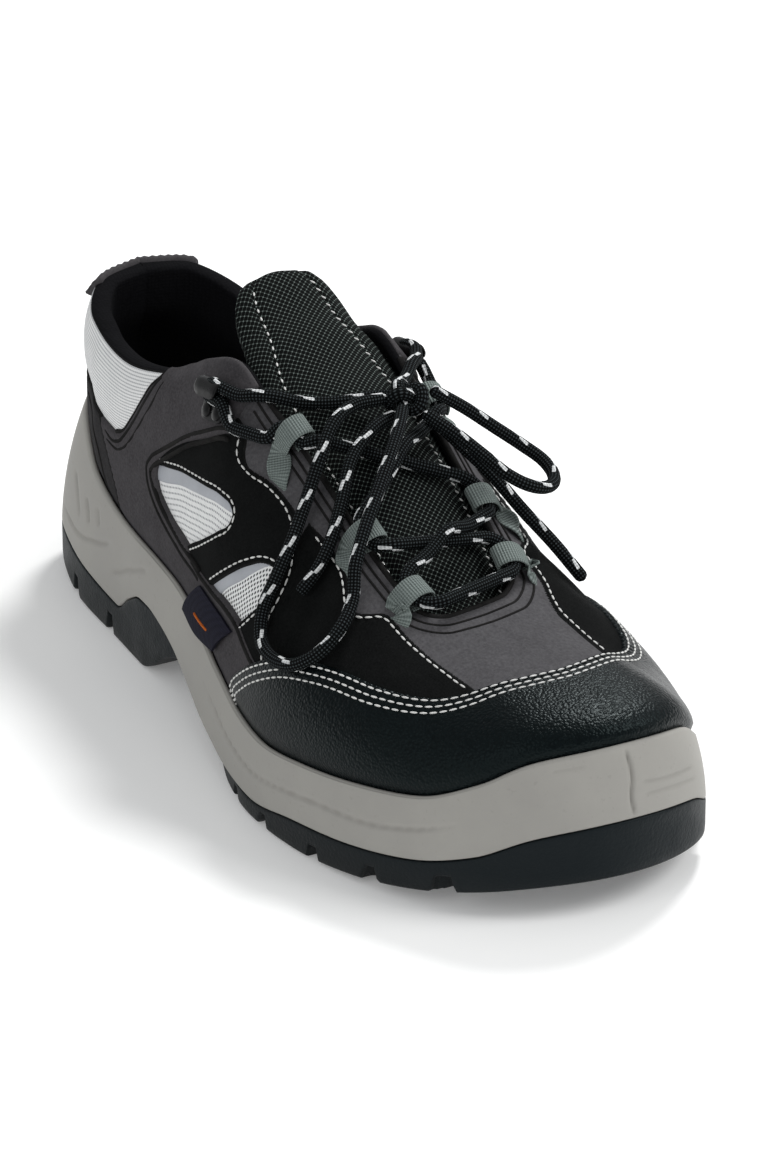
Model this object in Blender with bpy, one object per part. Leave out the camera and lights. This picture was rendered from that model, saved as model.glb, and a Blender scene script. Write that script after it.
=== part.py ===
# Low safety shoe for the right foot, standing empty on its sole.
# Frame: +X towards the toe, -Y to the outer side of the foot, +Z up, metres.
# The origin is on the floor, under the middle of the sole's length and breadth.

import math

import bmesh
import bpy
import numpy as np
from mathutils import Matrix, Vector
from mathutils.bvhtree import BVHTree

MM = 0.001

# Driving dimensions
LENGTH = 302 * MM
TOE_TIP_SIDE = 6 * MM
CENTRE_SIDE = -2.5 * MM
GAP = 0.3 * MM
WALL = 2.2 * MM
RIM_THICKNESS = 2.6 * MM
EDGE_BEVEL = 1.8 * MM
INSOLE_THICKNESS = 4.0 * MM
CAP_THICKNESS = 1.5 * MM
CAP_START = 0.015
CAP_GAP = 0.45 * MM
TONGUE_THICKNESS = 5.0 * MM
LACE_DIAMETER = 3.9 * MM
TONGUE_CLEARANCE = 1.4 * MM

# Mesh fineness: stations around the last, rows up the upper
STATIONS = 84
HIDDEN_ROWS = 2
VISIBLE_ROWS = 9
CAP_ROWS = 11

# Sole outline, a row for each station: distance from the back of the heel,
# reach to the outer side, reach to the inner side (mm)
OUTLINE = (
    (8, 22.5, 18.5),
    (40, 35.5, 34.0),
    (78, 39.5, 34.5),
    (120, 44.5, 35.5),
    (160, 53.5, 43.0),
    (200, 60.0, 52.5),
    (235, 57.0, 55.0),
    (265, 47.0, 50.5),
    (287, 31.0, 39.0),
    (298, 12.5, 24.0),
)

# Sole heights, a row for each station: distance from the back of the heel, top of the
# sidewall, split between sidewall and tread, underside, foot bed, tuck of the tread,
# lean of the sidewall towards its top (mm)
SOLE = (
    (0, 58.0, 16.5, 6.5, 27.0, 0.0, 8.4),
    (22, 51.8, 15.7, 2.6, 27.0, 0.0, 7.4),
    (42, 43.6, 13.9, 0.0, 27.0, 0.0, 5.6),
    (74, 37.4, 12.0, 0.0, 26.5, 0.0, 4.0),
    (84, 37.1, 18.4, 0.0, 26.2, 0.0, 3.8),
    (93, 37.0, 22.4, 0.0, 26.0, 0.0, 3.6),
    (100, 36.8, 22.6, 2.6, 26.0, 0.3, 3.5),
    (110, 36.5, 21.2, 9.5, 25.8, 1.0, 3.4),
    (122, 35.4, 18.6, 13.4, 24.6, 2.6, 3.4),
    (140, 32.3, 13.8, 9.6, 22.0, 3.4, 3.4),
    (158, 28.2, 9.4, 4.6, 19.0, 3.2, 3.4),
    (178, 24.2, 6.4, 0.0, 16.8, 1.2, 3.4),
    (198, 23.4, 6.0, 0.0, 15.6, 0.0, 3.4),
    (222, 25.8, 9.4, 0.0, 15.4, 0.0, 3.4),
    (248, 29.0, 11.4, 1.5, 16.6, 0.0, 3.4),
    (268, 32.0, 13.8, 4.0, 19.0, 0.0, 3.4),
    (284, 39.5, 18.8, 7.2, 22.0, 0.0, 3.5),
    (294, 47.0, 25.4, 9.6, 24.5, 0.0, 3.7),
    (302, 50.5, 29.0, 11.4, 26.5, 0.0, 3.8),
)

# Edge of the collar and throat, a row for each station of the outline: station, place along
# the shoe, skew between outer and inner side, half breadth, height, fall of the surface
# below level at the edge (degrees), reach and rise of the rib's two handles, swell, padding (mm)
OPENING = (
    (0, 15.0, 0.0, 0.0, 95.5, 84.0, 12.0, 13.0, 0.6, 4.0),
    (8, 19.0, 0.0, 14.5, 94.5, 84.0, 12.0, 13.0, 0.8, 4.0),
    (30, 35.0, 0.0, 25.5, 89.5, 82.0, 13.0, 14.0, 1.4, 4.0),
    (64, 62.0, 0.0, 28.5, 86.0, 80.0, 14.0, 15.0, 2.0, 4.0),
    (95, 91.0, 0.0, 28.0, 92.5, 74.0, 18.0, 19.0, 2.2, 3.4),
    (118, 112.0, 0.0, 26.0, 103.0, 64.0, 23.0, 25.0, 2.2, 1.8),
    (138, 128.0, 0.5, 24.5, 108.0, 58.0, 26.0, 28.0, 2.2, 0.6),
    (160, 147.0, 1.0, 23.5, 100.5, 50.0, 26.0, 29.0, 2.2, 0.0),
    (190, 172.5, 2.0, 22.0, 88.2, 42.0, 26.0, 26.0, 2.8, 0.0),
    (222, 201.0, 3.0, 20.5, 73.4, 31.0, 25.0, 22.0, 2.8, 0.0),
    (250, 219.0, 4.0, 18.2, 65.6, 20.0, 28.0, 17.0, 2.0, 0.0),
    (282, 225.0, 2.0, 9.4, 63.8, 14.0, 35.0, 12.0, 0.8, 0.0),
    (302, 225.5, 0.0, 0.0, 63.8, 12.0, 37.0, 8.5, 0.0, 0.0),
)

# Upper edge of the toe cap, a row for each station of the outline: station on the outer or
# inner side, height share up the rib
CAP_EDGE = (
    (171, 0.06),
    (182, 0.20),
    (193, 0.30),
    (207, 0.40),
    (222, 0.47),
    (244, 0.55),
    (264, 0.56),
    (284, 0.60),
    (302, 0.62),
)

# Stations of the three webbing loops on each side of the throat, front to back, and their sizes
LOOP_STATIONS = (242 * MM, 213 * MM, 173 * MM)
LOOP_WIDTH = 8 * MM
LOOP_BAND = 1.1 * MM
LOOP_LENGTH = 11 * MM
LOOP_HEIGHT = 7.2 * MM
LOOP_INWARD = 1.0 * MM
LOOP_CLEARANCE = 1.6 * MM

# Lace hooks: station and height share of each, sizes of the pressed strip and its rivets
HOOK_STATION = 134 * MM
HOOK_SHARE = 0.845
HOOK_WIDTH = 13 * MM
HOOK_STRIP = 1.0 * MM
RIVET_RADIUS = 2.4 * MM

# Side of the hook's strip, a row for each bend: reach towards the throat, height (mm)
HOOK_BENDS = (
    (-6.0, 0.5),
    (2.5, 0.5),
    (5.2, 1.2),
    (6.4, 3.2),
    (5.6, 5.4),
    (3.0, 6.2),
    (0.5, 5.8),
)

# Lace routes from the back of the heel: along, side, height (mm)
RUN_LATERAL = (
    (154.2, -28.8, 95.6),
    (152.0, -29.8, 95.4),
    (146.8, -31.6, 95.1),
    (141.3, -33.2, 94.5),
)
RUN_MEDIAL = (
    (152.1, 28.4, 95.2),
    (150.4, 29.0, 95.0),
    (146.5, 30.0, 94.8),
    (141.5, 30.9, 94.1),
)
TIE_LATERAL = (
    (139.5, -29.0, 103.3),
    (142.3, -27.5, 104.4),
    (146.0, -23.9, 105.0),
    (151.0, -16.5, 103.4),
    (156.5, -6.5, 103.4),
    (161.0, 2.8, 104.8),
)
TIE_MEDIAL = (
    (138.7, 28.4, 103.0),
    (141.0, 27.3, 104.2),
    (145.0, 23.9, 104.8),
    (150.0, 19.5, 104.0),
    (155.0, 15.0, 104.2),
    (158.8, 12.3, 105.0),
)
BOW_LATERAL = (
    (166.9, 1.6, 106.6),
    (167.1, -8.0, 106.7),
    (170.8, -16.5, 104.3),
    (175.1, -22.7, 98.2),
    (177.9, -27.7, 90.4),
    (181.3, -33.0, 83.0),
    (184.9, -38.7, 76.1),
    (186.9, -44.2, 68.4),
    (188.4, -49.3, 60.3),
    (193.5, -53.1, 53.4),
    (202.8, -54.0, 51.0),
    (212.0, -52.2, 52.6),
    (217.6, -47.1, 57.6),
    (217.7, -40.3, 63.7),
    (213.2, -33.9, 69.2),
    (208.8, -30.6, 77.1),
    (204.5, -25.6, 84.2),
    (199.8, -19.7, 90.3),
    (194.5, -13.6, 95.5),
    (188.7, -7.4, 100.3),
    (182.1, -1.3, 103.8),
    (174.3, 4.3, 105.3),
)
END_LATERAL = (
    (170.5, 3.0, 102.2),
    (174.0, -5.0, 101.6),
    (179, -15.0, 96.0),
    (187, -23.0, 86.5),
    (193.8, -31.0, 77.5),
    (196, -36.1, 72.0),
    (196.2, -41.0, 67.2),
)
BOW_MEDIAL = (
    (172.6, 16.2, 108.0),
    (174.8, 24.2, 102.4),
    (178.7, 32.3, 95.9),
    (182.9, 40.3, 89.4),
    (187.0, 43.7, 86.4),
    (192.7, 44.1, 84.3),
    (198.1, 41.3, 83.5),
    (201.3, 36.2, 84.3),
    (201.3, 30.5, 86.5),
    (198.2, 26.1, 89.2),
    (191.1, 22.5, 93.0),
    (184.0, 18.0, 97.6),
    (176.6, 11.5, 103.0),
)
END_MEDIAL = (
    (172.3, 15.2, 99.7),
    (177.5, 20.5, 93.5),
    (186.0, 27.5, 84.5),
    (196.0, 32.2, 76.0),
    (206.2, 36.9, 68.2),
    (215.3, 40.6, 60.8),
)
KNOT_MIDDLE = (168, 9.0, 106.2)
KNOT_SIZE = (16, 14, 9)

# Tread grooves that open at the sides: place of the middle, breadth, depth, turn (degrees)
GROOVE_LENGTH = 60 * MM
GROOVES = (
    (40, 4.5, 6.0, 8.0),
    (69, 4.5, 6.0, 8.0),
    (186, 4.0, 3.6, -8.0),
    (205, 4.0, 4.0, -10.0),
    (230, 4.0, 4.0, -12.0),
    (252, 4.0, 4.5, -14.0),
    (273, 4.0, 5.0, -16.0),
)


def smooth_slopes(knots, values):
    """Slopes at the rows of a table, by central differences."""
    return np.gradient(values, knots, axis=0)


def level_slopes(knots, values):
    """Slopes that keep a table's curve between its neighbouring rows."""
    secant = np.diff(values, axis=0) / np.diff(knots)[:, None]
    before, after = secant[:-1], secant[1:]
    same_way = before * after > 0
    total = np.where(same_way, before + after, 1.0)
    middle = np.where(same_way, 2 * before * after / total, 0.0)
    return np.vstack([secant[:1], middle, secant[-1:]])


def along_table(knots, values, slopes, at):
    """Cubic curve through a table's rows, one column for each value."""
    at = np.asarray(at, float)
    row = np.clip(np.searchsorted(knots, at, side="right") - 1, 0, len(knots) - 2)
    step = knots[row + 1] - knots[row]
    t = ((at - knots[row]) / step)[:, None]
    step = step[:, None]
    return (
        (2 * t**3 - 3 * t**2 + 1) * values[row]
        + (t**3 - 2 * t**2 + t) * step * slopes[row]
        + (3 * t**2 - 2 * t**3) * values[row + 1]
        + (t**3 - t**2) * step * slopes[row + 1]
    )


def station_angle(distance):
    """Angle around the last, from 0 at the heel to pi at the toe, of a distance in metres."""
    return np.arccos(np.clip(1 - 2 * np.asarray(distance, float) / LENGTH, -1, 1))


def station_distance(angle):
    return LENGTH / 2 * (1 - np.cos(angle))


def closed_outline():
    """Angles and side reaches of the sole's outline, once around and wrapped at both ends."""
    rows = np.array(OUTLINE) * MM
    angles = station_angle(rows[:, 0])
    knots = np.concatenate([[0], angles, [math.pi], 2 * math.pi - angles[::-1]])
    sides = np.concatenate([[0], -rows[:, 1], [TOE_TIP_SIDE], rows[::-1, 2]])
    knots = np.concatenate([knots - 2 * math.pi, knots, knots + 2 * math.pi])
    sides = np.tile(sides, 3)[:, None]
    return knots, sides, smooth_slopes(knots, sides)


OUTLINE_CURVE = closed_outline()


def outline_side(angle):
    return along_table(*OUTLINE_CURVE, angle)[:, 0]


def outline_loop(angle, inset):
    """Plan points of the outline moved inwards by inset, one for each angle."""
    small = 1e-4
    x = station_distance(angle)
    y = outline_side(angle)
    run = (station_distance(angle + small) - station_distance(angle - small)) / (2 * small)
    rise = (outline_side(angle + small) - outline_side(angle - small)) / (2 * small)
    size = np.hypot(run, rise)
    inward = np.stack([-rise / size, run / size], axis=1)
    return np.stack([x, y], axis=1) + inward * np.asarray(inset)[..., None]


SOLE_ROWS = np.array(SOLE) * MM
SOLE_SLOPES = level_slopes(SOLE_ROWS[:, 0], SOLE_ROWS[:, 1:])


def sole_heights(distance):
    """Rim, split, underside, foot bed, tuck and lean at distances from the heel."""
    distance = np.clip(distance, 0, LENGTH)
    return along_table(SOLE_ROWS[:, 0], SOLE_ROWS[:, 1:], SOLE_SLOPES, distance).T


def sole_loop(angle, inset, column, lift=0.0):
    """Loop of 3-D points at an inset, on one column of the sole table."""
    plan = outline_loop(angle, np.broadcast_to(inset, angle.shape))
    height = sole_heights(station_distance(angle))[column] + lift
    return np.column_stack([plan, height])


RIM, SPLIT, UNDERSIDE, BED, TUCK, LEAN = range(6)


def upper_inset(angle):
    """Inset of the upper's foot: lean and thickness of the sidewall's rim, and the gap."""
    return sole_heights(station_distance(angle))[LEAN] + RIM_THICKNESS + GAP


def opening_table():
    rows = np.array(OPENING)
    knots = station_angle(rows[:, 0] * MM)
    return knots, rows[:, 1:], level_slopes(knots, rows[:, 1:])


OPENING_CURVE = opening_table()


def ribs(angle):
    """The four handles of each rib above the sidewall, and the padding at its edge."""
    angle = np.mod(angle, 2 * math.pi)
    outer_side = angle <= math.pi
    half = np.where(outer_side, angle, 2 * math.pi - angle)
    side = np.where(outer_side, -1.0, 1.0)
    row = along_table(*OPENING_CURVE, half).T
    place, skew, breadth, height, fall, reach, rise, swell, padding = row
    foot = sole_loop(angle, upper_inset(angle), RIM)
    edge = np.column_stack([place - side * skew, side * breadth, height]) * MM
    away = foot[:, :2] - edge[:, :2]
    away /= np.linalg.norm(away, axis=1)[:, None]
    fall = np.radians(fall)
    slope = np.column_stack([away * np.cos(fall)[:, None], -np.sin(fall)])
    upright = np.column_stack([away * (swell * MM)[:, None], rise * MM])
    return foot, foot + upright, edge + slope * (reach * MM)[:, None], edge, padding * MM


def upper_surface(angle, share):
    """Outer face of the upper: share -1 to 0 stands in the tray, 0 to 1 climbs to the edge."""
    foot, first, second, edge, _ = ribs(angle)
    bed = sole_heights(station_distance(angle))[BED] + GAP
    rows = []
    for part in np.atleast_1d(share):
        if part < 0:
            low = foot.copy()
            low[:, 2] += (bed - foot[:, 2]) * -part
            rows.append(low)
            continue
        rest = 1 - part
        rows.append(rest**3 * foot + 3 * rest**2 * part * first
                    + 3 * rest * part**2 * second + part**3 * edge)
    return np.array(rows)


def upper_normals(angle, share):
    """Outward unit normals of the upper's outer face."""
    small = 1e-3
    share = np.atleast_1d(share)
    low = np.where(share - small < -1, share, share - small)
    high = np.where(share + small > 1, share, share + small)
    up = upper_surface(angle, high) - upper_surface(angle, low)
    around = upper_surface(angle + small, share) - upper_surface(angle - small, share)
    normal = np.cross(around, up)
    return normal / np.linalg.norm(normal, axis=2)[:, :, None]


def upper_offset(angle, share, distance):
    """The upper's outer face moved outwards along its normals."""
    distance = np.broadcast_to(distance, (len(np.atleast_1d(share)), len(angle)))
    return upper_surface(angle, share) + upper_normals(angle, share) * distance[:, :, None]


def to_frame(points):
    """Moves points from the heel's back to the frame's origin."""
    return np.asarray(points) - np.array([LENGTH / 2, CENTRE_SIDE, 0.0])


# Materials, one for each piece


def plain_material(name, colour, roughness, metallic=0.0):
    material = bpy.data.materials.new(name)
    material.use_nodes = True
    shader = material.node_tree.nodes["Principled BSDF"]
    shader.inputs["Base Color"].default_value = (*colour, 1.0)
    shader.inputs["Roughness"].default_value = roughness
    shader.inputs["Metallic"].default_value = metallic
    return material


def fresh_collection(name):
    collection = bpy.data.collections.new(name)
    bpy.context.scene.collection.children.link(collection)
    return collection


def add_object(name, bm, material, collection):
    """Finishes a bmesh as a named, smooth-shaded object."""
    bmesh.ops.recalc_face_normals(bm, faces=bm.faces)
    mesh = bpy.data.meshes.new(name)
    bm.to_mesh(mesh)
    bm.free()
    mesh.shade_smooth()
    mesh.set_sharp_from_angle(angle=math.radians(40))
    mesh.materials.append(material)
    new_object = bpy.data.objects.new(name, mesh)
    collection.objects.link(new_object)
    return new_object


# Lofts between unlike loops and grids


def add_ring(bm, points):
    return [bm.verts.new(point) for point in to_frame(points)]


def bridge(bm, first, second):
    count = len(first)
    for i in range(count):
        j = (i + 1) % count
        bm.faces.new((first[i], first[j], second[j], second[i]))


def ladder(bm, ring):
    """Closes a ring with rungs from its outer side to its inner side."""
    half = len(ring) // 2
    for i in range(half):
        corners = (ring[i], ring[i + 1], ring[-i - 1], ring[-i % len(ring)])
        bm.faces.new(tuple(dict.fromkeys(corners)))


def loft(loops, tube=False):
    """Closed body through a stack of loops, capped by ladders or joined end to end."""
    bm = bmesh.new()
    rings = [add_ring(bm, loop) for loop in loops]
    for first, second in zip(rings, rings[1:]):
        bridge(bm, first, second)
    if tube:
        bridge(bm, rings[-1], rings[0])
    else:
        ladder(bm, rings[0])
        ladder(bm, rings[-1])
    return bm


def slab(outer, inner):
    """Closed body between two grids of the same size."""
    bm = bmesh.new()
    rows, columns = outer.shape[:2]
    faces = [[add_ring(bm, row) for row in grid] for grid in (outer, inner)]
    for grid in faces:
        for i in range(rows - 1):
            for j in range(columns - 1):
                bm.faces.new((grid[i][j], grid[i][j + 1], grid[i + 1][j + 1], grid[i + 1][j]))
    border = [(0, j) for j in range(columns)]
    border += [(i, columns - 1) for i in range(1, rows)]
    border += [(rows - 1, j) for j in range(columns - 2, -1, -1)]
    border += [(i, 0) for i in range(rows - 2, 0, -1)]
    bridge(bm, [faces[0][i][j] for i, j in border], [faces[1][i][j] for i, j in border])
    return bm


for old_object in list(bpy.data.objects):
    bpy.data.objects.remove(old_object, do_unlink=True)
SHOE = fresh_collection("safety_shoe")
CUTTERS = fresh_collection("cutters")
ANGLES = np.arange(STATIONS) * 2 * math.pi / STATIONS


# Outsole: tread with heel, breast, waist, forefoot and toe bumper


def add_outsole():
    tuck = sole_heights(station_distance(ANGLES))[TUCK]
    material = plain_material("black_tread_pu", (0.012, 0.013, 0.014), 0.55)
    loops = [
        sole_loop(ANGLES, tuck, SPLIT, -1.5 * GAP),
        sole_loop(ANGLES, tuck, UNDERSIDE, EDGE_BEVEL),
        sole_loop(ANGLES, tuck + EDGE_BEVEL, UNDERSIDE),
    ]
    outsole = add_object("outsole", loft(loops), material, SHOE)
    outsole.modifiers.new("grooves", "BOOLEAN").object = groove_cutter()
    return outsole


def groove_cutter():
    """Bars that cut the tread's cross grooves, open at both sides of the sole."""
    bm = bmesh.new()
    for place, breadth, depth, turn in GROOVES:
        for side in (-1, 1):
            bar = bmesh.ops.create_cube(bm, size=1.0)["verts"]
            middle = station_angle(place * MM)
            reach = outline_side(np.array([middle if side < 0 else 2 * math.pi - middle]))[0]
            floor = sole_heights(np.array([place * MM]))[UNDERSIDE][0]
            size = Vector((breadth * MM, GROOVE_LENGTH, 2 * depth * MM))
            bmesh.ops.scale(bm, vec=size, verts=bar)
            bmesh.ops.rotate(bm, cent=(0, 0, 0), verts=bar,
                             matrix=turn_about_z(-side * math.radians(turn)))
            spot = to_frame([place * MM, reach + side * 4 * MM, floor])
            bmesh.ops.translate(bm, vec=Vector(spot), verts=bar)
    cutter = add_object("groove_cutter", bm, plain_material("cutter", (1, 0, 0), 1.0), CUTTERS)
    cutter.hide_render = True
    cutter.display_type = "WIRE"
    return cutter


def turn_about_z(angle):
    return Matrix.Rotation(angle, 3, "Z")


# Midsole: grey foamed sidewall with the tray that the upper stands in


def add_midsole():
    material = plain_material("grey_foamed_pu", (0.33, 0.31, 0.29), 0.6)
    lean = sole_heights(station_distance(ANGLES))[LEAN]
    tray = upper_inset(ANGLES) - GAP
    belly = 0.3 * lean
    loops = [
        sole_loop(ANGLES, 0.0, SPLIT),
        0.5 * (sole_loop(ANGLES, belly, SPLIT) + sole_loop(ANGLES, belly, RIM)),
        sole_loop(ANGLES, lean, RIM),
        sole_loop(ANGLES, tray, RIM),
        sole_loop(ANGLES, tray, BED),
    ]
    return add_object("midsole", loft(loops), material, SHOE)


# Upper: one hollow wall on the last, thicker along the padded collar


def add_upper():
    material = plain_material("charcoal_nubuck", (0.06, 0.06, 0.065), 0.8)
    hidden = -np.linspace(1, 0, HIDDEN_ROWS, endpoint=False)
    share = np.concatenate([hidden, np.linspace(0, 1, VISIBLE_ROWS)])
    outer = upper_surface(ANGLES, share)
    padding = ribs(ANGLES)[4]
    swell = np.clip((share - 0.25) / 0.45, 0, 1)
    swell = swell**2 * (3 - 2 * swell)
    depth = WALL + swell[:, None] * padding[None, :]
    inner = upper_offset(ANGLES, share, -depth)
    loops = list(outer) + list(inner[::-1])
    return add_object("upper", loft(loops, tube=True), material, SHOE)


# Toe cap: coated leather overlay, cut from the upper's own face


def add_toe_cap():
    material = plain_material("black_coated_leather", (0.014, 0.016, 0.018), 0.35)
    rows = np.array(CAP_EDGE)
    knots = station_angle(rows[:, 0] * MM)
    angle = ANGLES[(ANGLES >= knots[0]) & (ANGLES <= 2 * math.pi - knots[0])]
    half = np.minimum(angle, 2 * math.pi - angle)
    top = along_table(knots, rows[:, 1:], level_slopes(knots, rows[:, 1:]), half)[:, 0]
    faces = []
    for under in (CAP_GAP + CAP_THICKNESS, CAP_GAP):
        columns = []
        for i in range(len(angle)):
            share = np.linspace(CAP_START, top[i], CAP_ROWS)
            columns.append(upper_offset(angle[i:i + 1], share, under)[:, 0])
        faces.append(np.array(columns) + np.array([0, 0, GAP]))
    return add_object("toe_cap", slab(*faces), material, SHOE)


# Insole: foam sheet on the tray's bed


def add_insole():
    material = plain_material("black_insole_foam", (0.03, 0.03, 0.032), 0.9)
    inset = upper_inset(ANGLES) + WALL + 2 * GAP
    loops = [
        sole_loop(ANGLES, inset, BED, GAP),
        sole_loop(ANGLES, inset, BED, GAP + INSOLE_THICKNESS),
    ]
    return add_object("insole", loft(loops), material, SHOE)


# Tongue: padded sheet under the throat, its sides tucked below the upper

# A row for each section: place along the shoe, half breadth, crown above the throat's edge (mm)
TONGUE = (
    (232, 19, -7.0),
    (220, 22, -4.8),
    (208, 25, -0.6),
    (192, 27, 3.0),
    (173, 28, 4.6),
    (154, 28, 5.0),
    (137, 25, 5.0),
    (121, 19, 9.0),
    (105, 18, 19.0),
)
TONGUE_ARCH = 30 * MM


def throat_height(place):
    """Height of the throat's edge at a place along the shoe."""
    rows = np.array(OPENING)
    rows = rows[(rows[:, 0] >= 138)]
    return np.interp(place, rows[:, 1] * MM, rows[:, 4] * MM)


def tree_of(part):
    return BVHTree.FromObject(part, bpy.context.evaluated_depsgraph_get())


def add_tongue(upper_tree):
    material = plain_material("black_tongue_mesh", (0.02, 0.02, 0.022), 0.85)
    outer = []
    for place, breadth, crown in np.array(TONGUE) * MM:
        line = []
        for share in np.linspace(-1, 1, 13):
            side = share * breadth
            height = throat_height(place) + crown - side**2 / (2 * TONGUE_ARCH)
            start = Vector(to_frame([place, side, height - 40 * MM]))
            hit = upper_tree.ray_cast(start, Vector((0, 0, 1)))[0]
            if hit is not None:
                height = min(height, hit.z - TONGUE_CLEARANCE)
            line.append([place, side, height])
        outer.append(line)
    outer = np.array(outer)
    inner = outer - np.array([0, 0, TONGUE_THICKNESS])
    return add_object("tongue", slab(outer, inner), material, SHOE)


# Webbing loops and lace hooks along the throat


def edge_frame(station, side, share):
    """Point on the upper with its directions along the throat, off the face and to the throat."""
    angle = station_angle(station)
    angle = np.array([angle if side < 0 else 2 * math.pi - angle])
    point = upper_surface(angle, share)[0, 0]
    off = upper_normals(angle, share)[0, 0]
    along = upper_surface(angle + 0.01, share)[0, 0] - upper_surface(angle - 0.01, share)[0, 0]
    along *= -side
    along = along - off * (along @ off)
    along /= np.linalg.norm(along)
    inward = np.cross(along, off) * side
    return point, along, off, inward


def add_lace_loop(name, station, side, material):
    """Webbing folded into a flat loop at the throat's edge."""
    point, along, off, inward = edge_frame(station, side, 1.0)
    middle = point + off * (LOOP_HEIGHT / 2 + 0.4 * MM) + inward * LOOP_INWARD
    turn = np.linspace(0, 2 * math.pi, 12, endpoint=False)
    loops = []
    for width, shrink in ((-1, 0), (1, 0), (1, LOOP_BAND), (-1, LOOP_BAND)):
        reach = np.cos(turn)[:, None] * (LOOP_LENGTH / 2 - shrink) * inward
        lift = np.sin(turn)[:, None] * (LOOP_HEIGHT / 2 - shrink) * off
        loops.append(middle + reach + lift + along * width * LOOP_WIDTH / 2)
    return add_object(name, loft(loops, tube=True), material, SHOE)


def add_lace_hook(name, side, material):
    """Pressed strip that lies on the upper and curls back over the lace, with two rivets."""
    point, along, off, inward = edge_frame(HOOK_STATION, side, HOOK_SHARE)
    bends = np.array(HOOK_BENDS) * MM
    run = np.gradient(bends, axis=0)
    run /= np.linalg.norm(run, axis=1)[:, None]
    thick = np.column_stack([-run[:, 1], run[:, 0]]) * HOOK_STRIP
    grids = []
    for side_points in (bends, bends + thick):
        spine = point + side_points[:, :1] * inward + side_points[:, 1:] * off
        grids.append(np.stack([spine + along * w * HOOK_WIDTH / 2 for w in (-1, -0.4, 0.4, 1)], axis=1))
    hook = add_object(name, slab(*grids), material, SHOE)
    for number, place in enumerate((-0.24, 0.24)):
        spot = point + along * place * HOOK_WIDTH - inward * 3 * MM + off * 1.2 * MM
        bm = bmesh.new()
        bmesh.ops.create_uvsphere(bm, u_segments=10, v_segments=6, radius=RIVET_RADIUS)
        bmesh.ops.scale(bm, vec=(1, 1, 0.42), verts=bm.verts)
        turn = Vector((0, 0, 1)).rotation_difference(Vector(off)).to_matrix()
        bmesh.ops.rotate(bm, cent=(0, 0, 0), matrix=turn, verts=bm.verts)
        bmesh.ops.translate(bm, vec=Vector(to_frame(spot)), verts=bm.verts)
        rivet = add_object(f"{name}_rivet_{number}", bm, material, CUTTERS)
        rivet.hide_render = True
        rivet.display_type = "WIRE"
        join = hook.modifiers.new("rivet", "BOOLEAN")
        join.operation = "UNION"
        join.object = rivet
    return hook


# Lace: bar and crossings over the tongue, runs to the hooks, ties, knot, bow loops and ends


def smooth_route(points, spacing):
    """Points at an even spacing on a smooth curve through a route's points, in metres."""
    points = np.array(points, float) * MM
    lengths = np.concatenate([[0], np.cumsum(np.linalg.norm(np.diff(points, axis=0), axis=1))])
    count = max(4, int(round(lengths[-1] / spacing)) + 1)
    at = np.linspace(0, lengths[-1], count)
    return along_table(lengths, points, smooth_slopes(lengths, points), at)


def add_cord(name, points, material, collection=SHOE):
    """Round cord along points, as a curve with closed ends."""
    curve = bpy.data.curves.new(name, "CURVE")
    curve.dimensions = "3D"
    curve.bevel_depth = LACE_DIAMETER / 2
    curve.bevel_resolution = 2
    curve.use_fill_caps = True
    spline = curve.splines.new("POLY")
    spline.points.add(len(points) - 1)
    for spot, place in zip(spline.points, to_frame(points)):
        spot.co = (*place, 1.0)
    curve.materials.append(material)
    cord = bpy.data.objects.new(name, curve)
    collection.objects.link(cord)
    return cord


def cord_mesh(name, points, material, collection):
    """A cord made a closed mesh, so that it can be joined to another."""
    cord = add_cord(name + "_curve", points, material, collection)
    bpy.context.view_layer.update()
    graph = bpy.context.evaluated_depsgraph_get()
    mesh = bpy.data.meshes.new_from_object(cord.evaluated_get(graph))
    bm = bmesh.new()
    bm.from_mesh(mesh)
    bmesh.ops.remove_doubles(bm, verts=bm.verts, dist=0.01 * MM)
    bpy.data.objects.remove(cord, do_unlink=True)
    return add_object(name, bm, material, collection)


def over_tongue(start, end, trees, lift, reach=0.0):
    """Route from one point to another that clears what lies under it."""
    route = []
    for share in np.linspace(-reach, 1 + reach, 9):
        spot = np.array(start) * (1 - share) + np.array(end) * share
        for tree in trees:
            above = Vector(to_frame(spot)) + Vector((0, 0, 60 * MM))
            hit = tree.ray_cast(above, Vector((0, 0, -1)))[0]
            if hit is not None:
                spot[2] = max(spot[2], hit.z + LACE_DIAMETER / 2 + lift)
        route.append(spot / MM)
    return smooth_route(route, 7 * MM)


def loop_mouth(station, side, forward):
    """Where the lace leaves a webbing loop, towards the middle of the throat."""
    point, along, off, inward = edge_frame(station, side, 1.0)
    reach = LOOP_LENGTH / 2 + LOOP_INWARD + LOOP_CLEARANCE
    return point + off * (LOOP_HEIGHT / 2) + inward * reach + along * forward * LACE_DIAMETER * 0.75


def add_crossing(name, starts, ends, trees, material):
    """Two strands that cross over the tongue, joined where they meet."""
    first = cord_mesh(name, over_tongue(starts[0], ends[1], trees, 0.7 * MM), material, SHOE)
    second = cord_mesh(name + "_strand", over_tongue(starts[1], ends[0], trees, 0.7 * MM),
                       material, CUTTERS)
    second.hide_render = True
    second.display_type = "WIRE"
    join = first.modifiers.new("crossing", "BOOLEAN")
    join.operation = "UNION"
    join.object = second
    return first


def add_knot(material):
    bm = bmesh.new()
    bmesh.ops.create_uvsphere(bm, u_segments=12, v_segments=8, radius=0.5)
    bmesh.ops.scale(bm, vec=Vector(KNOT_SIZE) * MM, verts=bm.verts)
    bmesh.ops.translate(bm, vec=Vector(to_frame(np.array(KNOT_MIDDLE) * MM)), verts=bm.verts)
    return add_object("lace_knot", bm, material, SHOE)


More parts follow.
